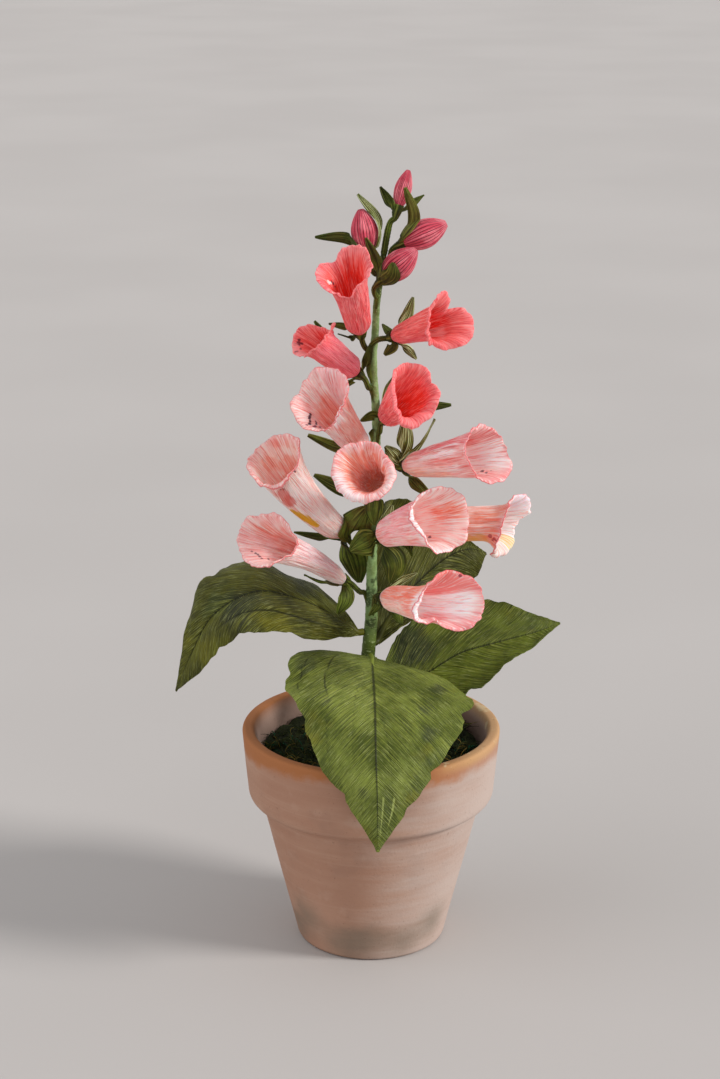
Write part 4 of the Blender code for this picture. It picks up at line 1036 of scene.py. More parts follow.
def moss_finish(name, depth):
    """Dried moss: nearly black, with emerald and straw threads, and dark speckle laid on as painted shade, as strong as
    depth says: more on the mat down in the moss than on the threads.
    """
    finish = Finish(name, roughness=1.0)
    shade = finish.painted("tint")
    patch = finish.cloud(finish.place(), 90.0, 3.0, 0.6)
    fine = finish.cloud(finish.place(), 900.0, 2.0, 0.6)
    color = finish.coat(
        tint(18, 22, 12),
        ((shade + patch * 0.6).band(0.4, 1.1), (62, 70, 30)),
        (shade.band(0.84, 0.9) * patch.band(0.42, 0.52), (140, 118, 50)),
        (shade.band(0.14, 0.08) * patch.band(0.6, 0.5), (28, 98, 66)),
        # Dark speckle as painted shade, stronger on the mat down under the threads
        (fine.band(0.4, 0.7) * depth, (10, 14, 8)),
    )
    return finish.close(color, fine, 0.0004, 0.8)


def terracotta():
    """Fired clay: an orange lip, salts that dried out whitish towards the right, damp marks by the foot, and painted
    shade darkening the inner wall towards the right.
    """
    finish = Finish("terracotta", roughness=0.85)
    place = finish.place()
    x, y, z = finish.parts(place)
    broad = finish.cloud(place, 14.0, 2.0, 0.5)
    worn = finish.cloud(place, 130.0, 3.0, 0.6)
    rough = finish.cloud(place, 45.0, 4.0, 0.6)
    speck = finish.cloud(place, 900.0, 2.0, 0.6)
    smear = finish.cloud(finish.vector(x * 14, y * 14, z * 90), 1.0, 4.0, 0.65)
    thrown = finish.cloud(finish.vector(x * 12, y * 12, z * 600), 1.0, 2.0, 0.6)
    outer = finish.apart(finish.vector(x, y), Vector((0, 0, 0))).band(0.0475, 0.0495)
    orange = 0.9 - (x * 9 + y * 4).band(0.0, 0.3) * 0.3
    color = finish.coat(
        tint(172, 130, 108),
        (broad.band(0.35, 0.65), (182, 142, 120)),
        (smear.band(0.46, 0.7) * 0.3, (192, 156, 134)),
        (smear.band(0.48, 0.3) * 0.2, (160, 118, 96)),
        (rough.band(0.5, 0.32) * 0.4, (158, 122, 104)),
        (worn.band(0.54, 0.7) * 0.15, (198, 168, 150)),
        (thrown.band(0.55, 0.7) * 0.1, (204, 172, 152)),
        ((x * 8 + smear * 0.6 + broad * 0.6).band(0.5, 1.0) * 0.75, (196, 182, 174)),
        ((z + broad * 0.012 + worn * 0.008).band(0.094, 0.0995) * outer * orange, (172, 108, 62)),
    )
    # Inner wall: pale clay on the left, darker brown towards the right as painted shade
    inner = finish.coat(tint(192, 162, 148), (x.band(0.0, 0.04), (96, 62, 46)))
    color = finish.mix((1 - outer) * z.band(0.07, 0.076) * 0.75, color, inner)
    color = finish.coat(
        color,
        ((x + rough * 0.02).band(0.034, 0.05) * z.band(0.0885, 0.0925) * outer * 0.5, (206, 164, 104)),
        ((worn + x * 3).band(0.72, 0.8) * z.band(0.089, 0.092) * 0.6, (212, 192, 152)),
    )
    for spot, size in DAMP_SPOTS:
        away = finish.apart(place, at(*spot)) + (smear + rough - 1) * 8 * MM
        color = finish.coat(color, (away.band(size * 1.2 * MM, 0.0) * 0.62, (122, 112, 98)))
    color = finish.coat(color, (speck.band(0.64, 0.74) * 0.35, (118, 84, 66)))
    return finish.close(color, thrown * 0.25 + speck * 0.4 + worn * 0.3, 0.0005, 0.6)


def plaster():
    """Rough off-white plaster."""
    finish = Finish("plaster", roughness=0.9)
    patch = finish.cloud(finish.place(), 120.0, 4.0, 0.6)
    color = finish.coat(tint(196, 192, 182), (patch.band(0.35, 0.65), (224, 220, 210)))
    return finish.close(color, patch, 0.0008, 0.6)


# Shapes


def spline_point(points, share):
    """The point at this share of a smooth curve through the points."""
    span = share * (len(points) - 1)
    i = min(int(span), len(points) - 2)
    t = span - i
    before = points[i - 1] if i else points[0] * 2 - points[1]
    after = points[i + 2] if i + 2 < len(points) else points[-1] * 2 - points[-2]
    start, end = points[i], points[i + 1]
    return 0.5 * (
        start * 2 + (end - before) * t
        + (before * 2 - start * 5 + end * 4 - after) * t * t
        + (start * 3 - before - end * 3 + after) * t ** 3
    )


def bezier_point(corners, t):
    """The point at t on the Bezier curve with these corners."""
    points = list(corners)
    while len(points) > 1:
        points = [a.lerp(b, t) for a, b in zip(points, points[1:])]
    return points[0]


def between(values, share):
    """The value at this share of the way through evenly spaced values."""
    span = share * (len(values) - 1)
    i = min(int(span), len(values) - 2)
    return values[i] + (values[i + 1] - values[i]) * (span - i)


def round_noise(ring, fineness, height):
    """Smooth noise on a circle, the same again after a full turn."""
    return noise.noise(ring * fineness + Vector((0, 0, height)))


def stem_at(height):
    """Middle and radius of the stem at this height."""
    for (x0, z0, r0), (x1, z1, r1) in zip(STEM_LINE, STEM_LINE[1:]):
        if height <= z1 * MM:
            break
    t = min(max((height / MM - z0) / (z1 - z0), 0), 1)
    return Vector(((x0 + (x1 - x0) * t) * MM, 0, height)), (r0 + (r1 - r0) * t) * MM


def off_stem(point, margin):
    """The point, moved straight out from the stem where it is closer than margin to its surface."""
    if point.z > STEM_LINE[-1][1] * MM:
        return point
    middle, radius = stem_at(point.z)
    away = point - middle
    least = radius + margin
    return point if away.length >= least else middle + away.normalized() * least


def grid(place, columns, rows):
    """A sheet whose point at (across, along), each 0 to 1, is place(across, along), with its map of the paper."""
    bm = bmesh.new()
    bm.loops.layers.uv.new("paper")
    bmesh.ops.create_grid(bm, x_segments=columns, y_segments=rows, size=1, calc_uvs=True)
    for vert in bm.verts:
        vert.co = place((vert.co.x + 1) / 2, (vert.co.y + 1) / 2)
    return bm


def paint(bm, name, value):
    """Keep value(vert) on each point of the mesh."""
    layer = bm.verts.layers.float.get(name) or bm.verts.layers.float.new(name)
    for vert in bm.verts:
        vert[layer] = value(vert)


def rolled(place, columns, rows, capped):
    """A tube: place(turn, along), turn from 0 to 1, welded along its seam and closed at its start or both ends."""
    bm = grid(place, columns, rows)
    bmesh.ops.remove_doubles(bm, verts=bm.verts, dist=WELD)
    rims = [e for e in bm.edges if e.is_boundary]
    start = place(0, 0)
    if not capped:
        rims = [e for e in rims if (e.verts[0].co - start).length < (e.verts[0].co - place(0, 1)).length]
    bmesh.ops.holes_fill(bm, edges=rims, sides=columns + 1)
    bmesh.ops.triangulate(bm, faces=[f for f in bm.faces if len(f.verts) > 4])
    bmesh.ops.recalc_face_normals(bm, faces=bm.faces)
    return bm


def piece(bm, name, materials):
    """The mesh as an object of its own, shaded smooth apart from its corners."""
    mesh = bpy.data.meshes.new(name)
    bm.to_mesh(mesh)
    bm.free()
    for each in materials:
        mesh.materials.append(each)
    mesh.shade_smooth()
    mesh.set_sharp_from_angle(angle=SMOOTH_ANGLE)
    obj = bpy.data.objects.new(name, mesh)
    bpy.context.scene.collection.objects.link(obj)
    return obj


def thicken(obj, thickness, offset, inside=0):
    """Give a sheet the thickness of its paper, its inner side in another material of the object's."""
    solid = obj.modifiers.new("Paper", "SOLIDIFY")
    solid.thickness = thickness
    solid.offset = offset
    solid.use_even_offset = False
    solid.material_offset = inside
    return obj


def settled(obj):
    """The object's mesh with its modifiers made real, and the object gone."""
    mesh = bpy.data.meshes.new_from_object(obj.evaluated_get(bpy.context.evaluated_depsgraph_get()))
    bpy.data.objects.remove(obj)
    return mesh


def gathered(meshes, name):
    """Several meshes as one object."""
    bm = bmesh.new()
    for mesh in meshes:
        bm.from_mesh(mesh)
    return piece(bm, name, meshes[0].materials)


def along_tube(route, radius_at, sides, rows, tinted=0.0):
    """A closed tube along a smooth route, with radius_at(turn, share) from its middle line."""
    side = None
    frames = []
    for k in range(rows + 1):
        ahead = (route(min((k + 0.5) / rows, 1)) - route(max((k - 0.5) / rows, 0))).normalized()
        side = (ahead.orthogonal() if side is None else side - ahead * side.dot(ahead)).normalized()
        frames.append((route(k / rows), side, ahead.cross(side)))

    def place(turn, share):
        middle, side, other = frames[round(share * rows)]
        angle = TURN * turn
        return middle + (side * math.cos(angle) + other * math.sin(angle)) * radius_at(turn % 1, share)

    bm = rolled(place, sides, rows, capped=True)
    paint(bm, "tint", lambda vert: tinted)
    return bm


def rounded(corners, steps):
    """Profile points from (radius, height, rounding) corners, each rounding a short curve."""
    profile = []
    for i, (radius, height, rounding) in enumerate(corners):
        corner = Vector((radius, height))
        if not rounding:
            profile.append(corner)
            continue
        before = Vector(corners[i - 1][:2])
        after = Vector(corners[(i + 1) % len(corners)][:2])
        start = corner + (before - corner).normalized() * rounding
        end = corner + (after - corner).normalized() * rounding
        profile += [bezier_point((start, corner, end), k / steps) for k in range(steps + 1)]
    return profile


def turned(profile, sides):
    """A turned ring from its closed (radius, height) profile."""
    bm = bmesh.new()
    verts = [bm.verts.new((radius, 0, height)) for radius, height in profile]
    edges = [bm.edges.new(pair) for pair in zip(verts, verts[1:] + verts[:1])]
    bmesh.ops.spin(
        bm, geom=verts + edges, cent=(0, 0, 0), axis=(0, 0, 1), dvec=(0, 0, 0),
        angle=TURN, steps=sides, use_merge=True, use_duplicate=False,
    )
    bmesh.ops.remove_doubles(bm, verts=bm.verts, dist=WELD)
    bmesh.ops.recalc_face_normals(bm, faces=bm.faces)
    return bm


def inner_radius(height):
    """Radius of the pot's inner wall at this height."""
    share = (height - POT_FLOOR) / (POT_HEIGHT - POT_FLOOR)
    return POT_INNER_FLOOR_RADIUS + (POT_RIM_RADIUS - POT_RIM_WIDTH - POT_INNER_FLOOR_RADIUS) * share


def make_pot():
    """A thick flared wall with a rim band, its rim a little uneven from the mould."""
    corners = (
        (DRAIN_RADIUS, 0, 0.6 * MM),
        (POT_BASE_RADIUS, 0, 2.2 * MM),
        (POT_WALL_TOP_RADIUS, POT_BAND_FOOT - 1.5 * MM, 1.0 * MM),
        (POT_BAND_FOOT_RADIUS, POT_BAND_FOOT + 1.5 * MM, 2.2 * MM),
        (POT_RIM_RADIUS, POT_HEIGHT, 1.9 * MM),
        (POT_RIM_RADIUS - POT_RIM_WIDTH, POT_HEIGHT, 1.6 * MM),
        (POT_INNER_FLOOR_RADIUS, POT_FLOOR, 2 * MM),
        (DRAIN_RADIUS, POT_FLOOR, 0.6 * MM),
    )
    bm = turned(rounded(corners, POT_ROUNDING_STEPS), POT_SIDES)
    long = [e for e in bm.edges if abs(e.verts[0].co.z - e.verts[1].co.z) > POT_LONG_EDGE]
    bmesh.ops.subdivide_edges(bm, edges=long, cuts=9, use_grid_fill=True)
    for vert in bm.verts:
        if vert.co.z > POT_TRUE_FOOT:
            x, y, z = vert.co
            dent = noise.noise(vert.co * 30) + 0.35 * noise.noise(Vector((x * 20, y * 20, z * 500)))
            vert.co += Vector((x, y, 0)).normalized() * dent * POT_UNEVEN
    return piece(bm, "clay_pot", [terracotta()])


def moss_span():
    """Radius of the hole round the stem and of the moss's outer edge."""
    return STEM_RADIUS_IN_MOSS + 2 * GAP, inner_radius(MOSS_FOOT) - 2 * GAP


def moss_top(x, y):
    """Height of the moss over this place."""
    inner, outer = moss_span()
    share = min(max((outer - math.hypot(x, y)) / (outer - inner), 0), 1)
    height = MOSS_FOOT + MOSS_LIFT * (0.6 + 0.5 * math.sin(math.pi * share))
    return height + MOSS_TUFT * noise.noise(Vector((x, y, height)) / MOSS_TUFT_SPACING)


def make_moss_mat():
    """The mat that the threads of moss grow from."""
    inner, outer = moss_span()
    top = [(outer + (inner - outer) * k / MOSS_RINGS, MOSS_FOOT + 2 * MM) for k in range(MOSS_RINGS + 1)]
    bm = turned([(inner, MOSS_FOOT), (outer, MOSS_FOOT), *top], MOSS_SIDES)
    for vert in bm.verts:
        if vert.co.z > MOSS_FOOT + WELD:
            x, y, _ = vert.co
            tufted = MOSS_ROUGH * noise.noise(Vector((x, y, 3)) / (2 * MM))
            vert.co.z = moss_top(x, y) + tufted - MOSS_SUNK
    paint(bm, "tint", lambda vert: 0.4)
    return piece(bm, "moss_mat", [moss_finish("moss mat", 0.7)])


def tuft(draw, finish):
    """A tuft of bent moss threads that share a root, the size of a fingertip."""
    meshes = []
    for _ in range(THREADS):
        turn = draw.uniform(0, TURN)
        level = Vector((math.cos(turn), math.sin(turn), 0))
        side = Vector((-level.y, level.x, 0)) * draw.uniform(-0.7, 0.7)
        reach = draw.uniform(3.5, 7.5) * MM
        lift = draw.uniform(0.15, 0.75)
        corners = (
            level * 0.3 * MM, level * reach * 0.35 + Vector((0, 0, reach * lift)),
            level * reach * 0.7 + side * reach + Vector((0, 0, reach * lift * 0.9)),
            (level + side * draw.uniform(0, 1.6)) * reach + Vector((0, 0, reach * draw.uniform(-0.1, 0.5))),
        )
        thick = draw.uniform(0.13, 0.26) * MM
        bm = along_tube(
            lambda share: bezier_point(corners, share), lambda turn, share: thick * (1 - 0.7 * share),
            THREAD_SIDES, THREAD_ROWS, tinted=draw.random(),
        )
        meshes.append(settled(piece(bm, "thread", [finish])))
    joined = gathered(meshes, "tuft")
    mesh = joined.data
    bpy.data.objects.remove(joined)
    return mesh


def make_moss_threads():
    """Tufts of threads strewn over the mat."""
    draw = random.Random(11)
    finish = moss_finish("moss threads", 0.3)
    kinds = [tuft(draw, finish) for _ in range(TUFT_KINDS)]
    base = piece(bmesh.new(), "moss_threads", [finish])
    copies = []
    inner, outer = STEM_RADIUS_IN_MOSS + 1 * MM, inner_radius(FILL_TOP) - 2.5 * MM

    def swung(low, high, axis):
        return Matrix.Rotation(draw.uniform(low, high), 4, axis)

    for k in range(TUFTS):
        radius = math.sqrt(draw.uniform(inner ** 2, outer ** 2))
        turn = draw.uniform(0, TURN)
        x, y = radius * math.cos(turn), radius * math.sin(turn)
        copy = bpy.data.objects.new("tuft copy", kinds[k % TUFT_KINDS])
        laid = swung(-TUFT_LEAN, TUFT_LEAN, "X") @ swung(-TUFT_LEAN, TUFT_LEAN, "Y") @ swung(0, TURN, "Z")
        size = Matrix.Scale(draw.uniform(0.7, 1.15), 4)
        copy.matrix_world = Matrix.Translation((x, y, moss_top(x, y) - MOSS_SUNK)) @ laid @ size
        bpy.context.scene.collection.objects.link(copy)
        copies.append(copy)
    with bpy.context.temp_override(active_object=base, selected_editable_objects=[base, *copies]):
        bpy.ops.object.join()
    for mesh in kinds:
        bpy.data.meshes.remove(mesh)
    for vert in base.data.vertices:
        reach = math.hypot(vert.co.x, vert.co.y)
        most = inner_radius(vert.co.z) - 2 * GAP
        if reach > most:
            vert.co.x *= most / reach
            vert.co.y *= most / reach
    return base


def make_stem():
    """The main stem, wound in tape whose turns lap."""
    middle = [at(x, 0, z) for x, z, _ in STEM_LINE]
    low, high = middle[0].z, middle[-1].z

    def route(share):
        return stem_at(low + (high - low) * share)[0]

    def radius(turn, share):
        lap = ((high - low) * share / TAPE_PITCH + turn) % 1
        return stem_at(low + (high - low) * share)[1] + TAPE_STEP * (lap - LAP_MIDDLE)

    bm = along_tube(route, radius, STEM_SIDES, STEM_ROWS)
    return piece(bm, "taped_stem", [stem_tape()])


def share_away(degrees, centre, spread):
    """How far an angle lies from the centre, as a share of the spread."""
    return abs((degrees - centre + 180) % 360 - 180) / spread


def hump(degrees, centre, spread):
    """1 at the centre, 0 from spread degrees away."""
    away = share_away(degrees, centre, spread)
    return max(0.0, 1 - away) ** 2 * (1 + 2 * min(away, 1))


def rib_depth(turn, share, seed):
    """How deep in a crepe rib this point of the paper lies, 0 to 1."""
    ring = Vector((math.cos(turn), math.sin(turn), 0))
    wander = 3.5 * round_noise(ring, 1.8, share * 2.6 + seed) + 1.6 * round_noise(ring, 7, share * 6 + seed)
    strength = 0.65 + round_noise(ring, 5, share * 4 + seed + 2)
    return (1 - abs(math.sin(BLOOM_RIBS / 2 * turn + wander))) ** 1.3 * min(max(strength, 0.1), 1)


def bloom_point(flower, degrees, share, seed):
    """A point of the rolled paper, with its crepe ribs, creases, soft dents and a lip that curls back."""
    reach, lip_radius = flower.lip_at(degrees)
    most = CURL_TURN
    for centre, spread, there in CURLS[flower.name]:
        most += (there - CURL_TURN) * hump(degrees, centre, spread)
    most = math.radians(most)

    def curled(slope, bent):
        """How far along and outwards a strip that leaves at this slope has rolled once it has turned by bent."""
        ahead = math.cos(slope) * math.sin(bent) - math.sin(slope) * (1 - math.cos(bent))
        outward = math.sin(slope) * math.sin(bent) + math.cos(slope) * (1 - math.cos(bent))
        return ahead * CURL_RADIUS, outward * CURL_RADIUS

    throat_at = min(THROAT_AT * flower.length * MM, THROAT_BACK * reach)
    throat = flower.tube_radius(throat_at)
    slope = math.atan((lip_radius - throat) / (reach - throat_at) * flower.flare)
    reach -= curled(slope, min(most, math.pi / 2 - slope))[0]
    lip_radius -= curled(slope, min(most, math.pi - slope))[1]
    along = min(share / CURL_FROM, 1) * reach
    radius = flower.tube_radius(min(along, throat_at))
    if along > throat_at:
        radius += (lip_radius - throat) * ((along - throat_at) / (reach - throat_at)) ** flower.flare
    if share > CURL_FROM:
        slope = math.atan((lip_radius - throat) / (reach - throat_at) * flower.flare)
        ahead, outward = curled(slope, most * (share - CURL_FROM) / (1 - CURL_FROM))
        along += ahead
        radius += outward

    turn = math.radians(degrees)
    ring = Vector((math.cos(turn), math.sin(turn), 0))
    near = max(0.0, share - 0.75) / 0.25
    dent = round_noise(ring, 1.6, share * 3 + seed)
    crumple = abs(round_noise(ring, 4, share * 3.4 + seed + 5))
    crimp = round_noise(ring, 6, share + seed + 3)
    body = math.sin(math.pi * min(share * 1.1, 1)) ** 0.5
    radius += (0.6 * dent * body - 0.6 * crumple * body + 0.6 * crimp * near * near) * MM
    radius -= RIB_DEPTH * rib_depth(turn, share, seed) * min(share * 8, 1)
    along += 0.7 * MM * round_noise(ring, 7, seed + 8) * near
    for centre, spread, low, high, depth in FOLDS[flower.name]:
        window = math.sin(math.pi * min(max((share - low) / (high - low), 0), 1)) ** 0.7
        radius -= depth * MM * window * max(0.0, 1 - share_away(degrees, centre, spread)) ** 1.6
    return flower.place(along, turn, radius)


def make_bloom(flower):
    """A rolled tube of crepe paper, pinched shut at its base and flared at its mouth."""
    seed = FLOWERS.index(flower) * PAPER_SEED

    def place(turn, share):
        return bloom_point(flower, 360 * (turn % 1), share, seed)

    bm = rolled(place, BLOOM_COLUMNS, BLOOM_ROWS, capped=False)
    probe = min(bm.faces, key=lambda face: (face.calc_center_median() - place(0.25, 0.5)).length)
    if probe.normal.dot(probe.calc_center_median() - flower.place(flower.length * MM / 2, 0, 0)) < 0:
        bmesh.ops.reverse_faces(bm, faces=bm.faces)
    uv = bm.loops.layers.uv["paper"]

    def crease(vert):
        around, along = vert.link_loops[0][uv].uv
        return rib_depth(TURN * (around % 1), along, seed)

    paint(bm, "crease", crease)
    papers = [petal_paper(flower, side) for side in ("out", "in")]
    obj = piece(bm, flower.name.replace("bloom", "petals"), papers)
    return thicken(obj, SHEET, -1, inside=1)


def bud_fold(turn, share):
    """How deep the paper is folded in here, 0 to 1."""
    wander = 0.5 * noise.noise(Vector((math.cos(turn) * 2, math.sin(turn) * 2, share * 1.5)))
    crease = abs(math.cos(13 * turn + 1.6 * share + 2 * wander))
    fine = abs(math.cos(24 * turn + 0.8 * share + 5 * wander))
    return (1 - crease) ** 2.4 * 0.75 + (1 - fine) ** 2 * 0.35


def make_bud(flower, paper):
    """A closed bud of gathered paper, its tip tucked in."""

    def place(around, along):
        turn = TURN * (around % 1)
        share = min(along / TUCK_FROM, 1)
        tuck = max(0.0, along - TUCK_FROM) / (1 - TUCK_FROM)
        reach = (share - (1 - TUCK_FROM) * tuck) * flower.length * MM
        pleat = 1 + BUD_PLEAT_DEPTH * math.cos(BUD_PLEATS * turn) * (1 - share ** 3)
        radius = flower.tube_radius(share * flower.length * MM) * pleat
        depth = bud_fold(turn, share) * math.sin(math.pi * min(share * 0.9 + 0.08, 1))
        return flower.place(reach, turn, (radius - BUD_FOLD_DEPTH * depth) * (1 - 0.75 * tuck))

    bm = rolled(place, BUD_COLUMNS, BUD_ROWS, capped=True)

    def fold(vert):
        offset = vert.co - flower.base
        along = min(max(offset.dot(flower.axis) / (flower.length * MM), 0), 1)
        turn = math.atan2(offset.dot(flower.right), offset.dot(flower.top))
        return bud_fold(turn, along)

    paint(bm, "fold", fold)
    return piece(bm, flower.name + "_paper", [paper])


def stalk_route(flower):
    """Points of the stalk from the stem's surface, or from the stem's end for the top bud, to the back of the cup."""
    cup_back = flower.base - flower.axis * CUP_LENGTH
    if flower.name == TOP_BUD:
        points = [stem_at(height * MM)[0] for height in TOP_STALK_HEIGHTS] + [cup_back]
        return [spline_point(points, k / 6) for k in range(7)]
    if flower.route:
        points = [at(*place) for place in flower.route] + [cup_back]
        middle, radius = stem_at(points[0].z)
        outward = (points[0] - middle).normalized()
        points[0] = middle + outward * (radius + 2 * GAP + STALK_RADIUS * 0.3)
        return [spline_point(points, k / 6) for k in range(7)]
    middle, radius = stem_at(min(cup_back.z - flower.root_drop * MM, STEM_LINE[-1][1] * MM))
    outward = Vector((cup_back.x - middle.x, cup_back.y - middle.y, 0)).normalized()
    start = middle + outward * (radius + GAP * 1.5)
    bend = (cup_back - start).length / 3
    corners = (start, start + outward * bend, cup_back - flower.axis * bend, cup_back)
    return [bezier_point(corners, k / 4) for k in range(5)]


def make_stalk(flower):
    """The taped stalk and the cup that holds the base of the paper tube."""
    points = stalk_route(flower)
    if flower.name == TOP_BUD:
        radii = [TOP_STALK_RADIUS] * 4 + [STALK_RADIUS] * (len(points) - 4)
    else:
        middle, radius = stem_at(points[0].z - STALK_LAP)
        beside = points[0] - stem_at(points[0].z)[0]
        points.insert(0, middle + Vector((beside.x, beside.y, 0)).normalized() * 0.7 * radius)
        radii = [0.5 * STALK_RADIUS, 0.9 * STALK_RADIUS] + [STALK_RADIUS] * (len(points) - 2)
    cup_radius = flower.neck + CUP_OVERHANG
    brim = BUD_CUP_BRIM if flower.is_bud else BLOOM_CUP_BRIM
    for back, radius in ((CUP_LENGTH * 0.55, 0.8 * cup_radius), (brim, cup_radius)):
        points.append(flower.base - flower.axis * back)
        radii.append(radius)

    def radius(turn, share):
        lap = (share * (len(radii) - 1) * STALK_TAPE_TURNS + turn) % 1
        return between(radii, share) + STALK_TAPE_STEP * (lap - LAP_MIDDLE)

    rows = STALK_ROWS * (len(points) - 1)
    return along_tube(lambda share: spline_point(points, share), radius, STALK_SIDES, rows, tinted=0.3)


def sepal_spine(flower, middle, tip, share):
    """Middle line of a sepal from inside the cup to its tip, and the way that its bloom's outside faces there."""
    outward = middle - flower.base
    outward -= flower.axis * outward.dot(flower.axis)
    outward.normalize()
    root = flower.base - flower.axis * SEPAL_ROOT + outward * (flower.neck - 0.5 * MM)
    return spline_point((root, middle, tip), share), outward


def make_sepal(flower, number, middle, tip, width, front, paper):
    """One cut sepal, ribbed and folded a little along its middle."""
    seed = FLOWERS.index(flower) * SEPAL_SEED + number

    def place(across, along):
        share = along ** 1.4
        rib, outward = sepal_spine(flower, middle, tip, share)
        ahead = sepal_spine(flower, middle, tip, min(share + 0.05, 1))[0]
        ahead = (ahead - sepal_spine(flower, middle, tip, max(share - 0.05, 0))[0]).normalized()
        facing = outward.lerp(FRONT, front * min(2 * share, 1))
        facing = (facing - ahead * facing.dot(ahead)).normalized()
        side = ahead.cross(facing)
        half = width * math.sin(math.pi * (0.14 + 0.83 * share)) ** 0.8 / 2
        offset = 2 * across - 1
        ripple = SEPAL_CURL * noise.noise(Vector((offset * width / MM * 0.8, share * 1.2, seed)))
        curl = SEPAL_CURL * math.sin(2.5 * share + seed) * offset * abs(offset)
        bend = half * 2 * SEPAL_FOLD * abs(offset)
        point = rib + side * half * offset + facing * (ripple + curl - bend) * min(share * 6, 1)
        if share > 0.1:
            for other in FLOWERS:
                point = other.clear(point, SEPAL_CLEAR)
            point = off_stem(point, SEPAL_CLEAR)
        return point

    bm = grid(place, SEPAL_COLUMNS, SEPAL_ROWS)
    bmesh.ops.recalc_face_normals(bm, faces=bm.faces)
    striped = (flower.name, number) in STRIPED
    shade = STRIPED_SHADE if striped else random.Random(seed).uniform(0, 0.65)
    paint(bm, "tint", lambda vert: shade)
    return thicken(piece(bm, "sepal", [paper]), SHEET, 0)


def make_calyx(flower, paper):
    """Stalk, cup and sepals of one flower."""
    meshes = [settled(piece(make_stalk(flower), "stalk", [paper]))]
    for number, (middle, tip, width, front) in enumerate(flower.sepals):
        meshes.append(settled(make_sepal(flower, number, at(*middle), at(*tip), width * MM, front, paper)))
    kind = "calyx_" + flower.name if flower.is_bud else flower.name.replace("bloom", "calyx")
    return kind, gathered(meshes, kind + "_paper")


def make_leaf(name, number):
    """A cut leaf with a folded midrib, pressed creases, notched and waved margins and a taped stalk."""
    middle, first, second = [[at(*place) for place in line] for line in LEAVES[name]]
    arch = LEAF_ARCH[name] * MM
    half = max((a - b).length for a, b in zip(first, second)) / 2
    length = sum((b - a).length for a, b in zip(middle, middle[1:]))

    def vein(offset, along):
        """How deep the midrib, the side veins and the creases are pressed in here; a raised crease is below 0."""
        reach = abs(offset)
        deep = math.exp(-((reach * half / MIDRIB_BREADTH) ** 2))
        for start, run in LEAF_VEINS:
            away = (along - start - run * reach ** 1.2) * length * 0.8
            deep = max(deep, VEIN_DEPTH * math.exp(-((away / VEIN_BREADTH) ** 2)) * (1 - reach ** 3))
        for start, end, low, high, depth in LEAF_CREASES[name]:
            share = (along - low) / (high - low)
            if 0 < share < 1:
                away = (offset - start - (end - start) * share) * half
                breadth = CREASE_BREADTH if depth > 0 else RIDGE_BREADTH
                press = depth * math.sin(math.pi * share) ** 0.4 * math.exp(-((away / breadth) ** 2))
                deep = max(deep, press) if depth > 0 else deep + press
        return deep

    def flat(offset, along):
        """Middle plane of the leaf."""
        rib = spline_point(middle, along)
        return rib + (spline_point(first if offset < 0 else second, along) - rib) * abs(offset)

    def place(across, along):
        offset = 2 * across - 1
        hand = 1 if offset > 0 else -1
        rib = spline_point(middle, along)
        margin = spline_point(first if offset < 0 else second, along)
        ahead = spline_point(middle, min(along + 0.04, 1)) - spline_point(middle, max(along - 0.04, 0))
        outward = margin - rib
        taper = (max(0.0, along - LEAF_TIP_FROM) / (1 - LEAF_TIP_FROM)) ** 1.5
        least = LEAF_TIPS[name] * MM / 2 * (1 - LEAF_TIP_TAPER * taper)
        if outward.length < least:
            side = spline_point(second, 0.8) - spline_point(first, 0.8)
            outward = side.normalized() * least * hand
        facing = ahead.cross(outward) * hand
        facing = facing.normalized() if facing.length else Vector((0, 0, 1))
        reach = abs(offset)
        row = along * LEAF_NOTCHES
        inside = math.sin(math.pi * min(along * 1.05, 1))
        notch = 1 - 2 * abs((row % 2) - 1)
        tooth = noise.noise(Vector((row * 2.3, number * 4 + 1 + hand, 0)))
        cut = (MARGIN_NOTCH * notch + MARGIN_TOOTH * tooth) * inside * reach ** 4
        for side, where, spread, depth in LEAF_SNIPS[name]:
            if side * offset > 0:
                cut -= depth * MM * max(0.0, 1 - abs(along - where) / spread) * reach ** 8
        wave = MARGIN_WAVE * inside * math.sin(2.4 * row + 1 + hand) * reach ** 3
        lift = arch * inside * 4 * reach * (1 - reach)
        crinkle = noise.noise(Vector((row * 3.5 - reach * 12, reach * 3 + row, number * 9 + 2.5 * (1 + hand))))
        relief = LEAF_CRINKLE * crinkle * reach ** 0.5 - LEAF_PRESS * vein(offset, along) * inside
        return rib + outward * reach + outward.normalized() * cut + facing * (wave + lift + relief)

    blade = grid(place, LEAF_COLUMNS, LEAF_ROWS)
    bmesh.ops.recalc_face_normals(blade, faces=blade.faces)
    uv = blade.loops.layers.uv["paper"]

    def spot(vert):
        return vert.link_loops[0][uv].uv

    paint(blade, "fold", lambda vert: vein(2 * spot(vert).x - 1, spot(vert).y))
    paint(blade, "reach", lambda vert: (vert.co - spline_point(middle, spot(vert).y)).length / MM)
    paint(blade, "run", lambda vert: spot(vert).y * length / MM)
    paper = leaf_paper(name, [(flat(offset, along), radius) for offset, along, radius in LEAF_SMUDGES[name]])
    sheet = settled(thicken(piece(blade, "blade", [paper]), SHEET, 0))

    start = middle[0]
    stem_middle, stem_radius = stem_at(start.z)
    root = stem_middle + (start - stem_middle).normalized() * (stem_radius + 1.5 * GAP)
    points = [root] + [spline_point(middle, share) - at(0, 0, 0.5) for share in LEAF_STALK_REACHES]
    stalk = along_tube(
        lambda share: spline_point(points, share), lambda turn, share: between(LEAF_STALK_RADII, share) * MM,
        LEAF_STALK_SIDES, LEAF_STALK_ROWS,
    )
    return gathered([sheet, settled(piece(stalk, "stalk", [paper]))], name + "_paper")


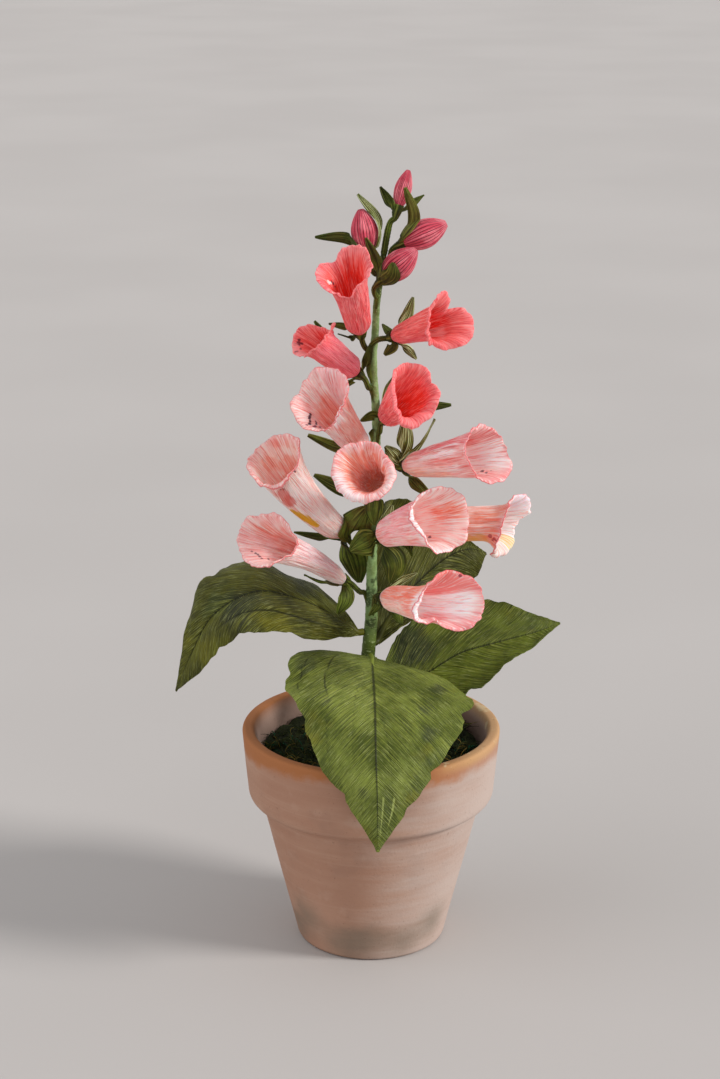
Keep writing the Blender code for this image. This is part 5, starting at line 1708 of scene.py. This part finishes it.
def make_floor():
    """A plain pale floor."""
    bm = bmesh.new()
    bmesh.ops.create_circle(bm, cap_ends=True, segments=96, radius=FLOOR_RADIUS)
    finish = Finish("floor", roughness=0.9)
    cloud = finish.cloud(finish.place(), 3.0, 2.0)
    color = finish.coat(tint(186, 181, 178), (cloud.band(0.3, 0.7), (190, 185, 182)))
    piece(bm, "floor", [finish.close(color)])


def make_light(name, toward, power, softness, color):
    """A soft far light that shines from this direction."""
    data = bpy.data.lights.new(name, "SUN")
    data.energy = power
    data.angle = math.radians(softness)
    data.color = color
    lamp = bpy.data.objects.new(name, data)
    lamp.rotation_mode = "QUATERNION"
    lamp.rotation_quaternion = Vector(toward).to_track_quat("Z", "Y")
    bpy.context.scene.collection.objects.link(lamp)


def make_studio():
    """Plain soft light, stronger from the right, and the photograph's camera."""
    scene = bpy.context.scene
    scene.world = bpy.data.worlds.new("studio")
    scene.world.use_nodes = True
    sky = scene.world.node_tree.nodes["Background"]
    sky.inputs["Color"].default_value = SKY_COLOR
    sky.inputs["Strength"].default_value = SKY_STRENGTH
    for name, light in WINDOWS.items():
        make_light(name, *light)
    scene.view_settings.view_transform = "Standard"

    data = bpy.data.cameras.new("camera")
    data.sensor_width = SENSOR_WIDTH
    data.lens = SENSOR_WIDTH * FOCAL_PIXELS / FRAME_PIXELS
    data.clip_start = CAMERA_CLIP
    camera = bpy.data.objects.new("camera", data)
    camera.location = CAMERA_PLACE
    camera.rotation_euler = (math.radians(90 - CAMERA_DOWN), 0, 0)
    scene.collection.objects.link(camera)
    scene.camera = camera


def dress(obj, slot, *nodes):
    """The piece rides on the body and stands for its nodes; the slot is not used."""
    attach(obj, "root")
    if nodes:
        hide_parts(*nodes)


def main():
    """Set the stage, then make every piece."""
    make_floor()
    make_studio()
    dress(make_pot(), "terracotta", "pot")
    dress(make_moss_mat(), "moss", "moss")
    dress(make_moss_threads(), "moss")
    dress(make_stem(), "stem_tape", "stem")
    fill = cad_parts["fill"]
    fill.data.materials.clear()
    fill.data.materials.append(plaster())
    sepals = sepal_paper()
    buds = bud_paper()
    for flower in FLOWERS:
        if flower.is_bud:
            dress(make_bud(flower, buds), "bud_paper", flower.name)
        else:
            coral = LOOKS[flower.name]["throat"] == CORAL["throat"]
            dress(make_bloom(flower), "coral_paper" if coral else "pale_pink_paper", flower.name)
        node, calyx = make_calyx(flower, sepals)
        dress(calyx, "sepal_paper", node)
    for number, name in enumerate(LEAVES):
        dress(make_leaf(name, number), "leaf_paper", name)


main()
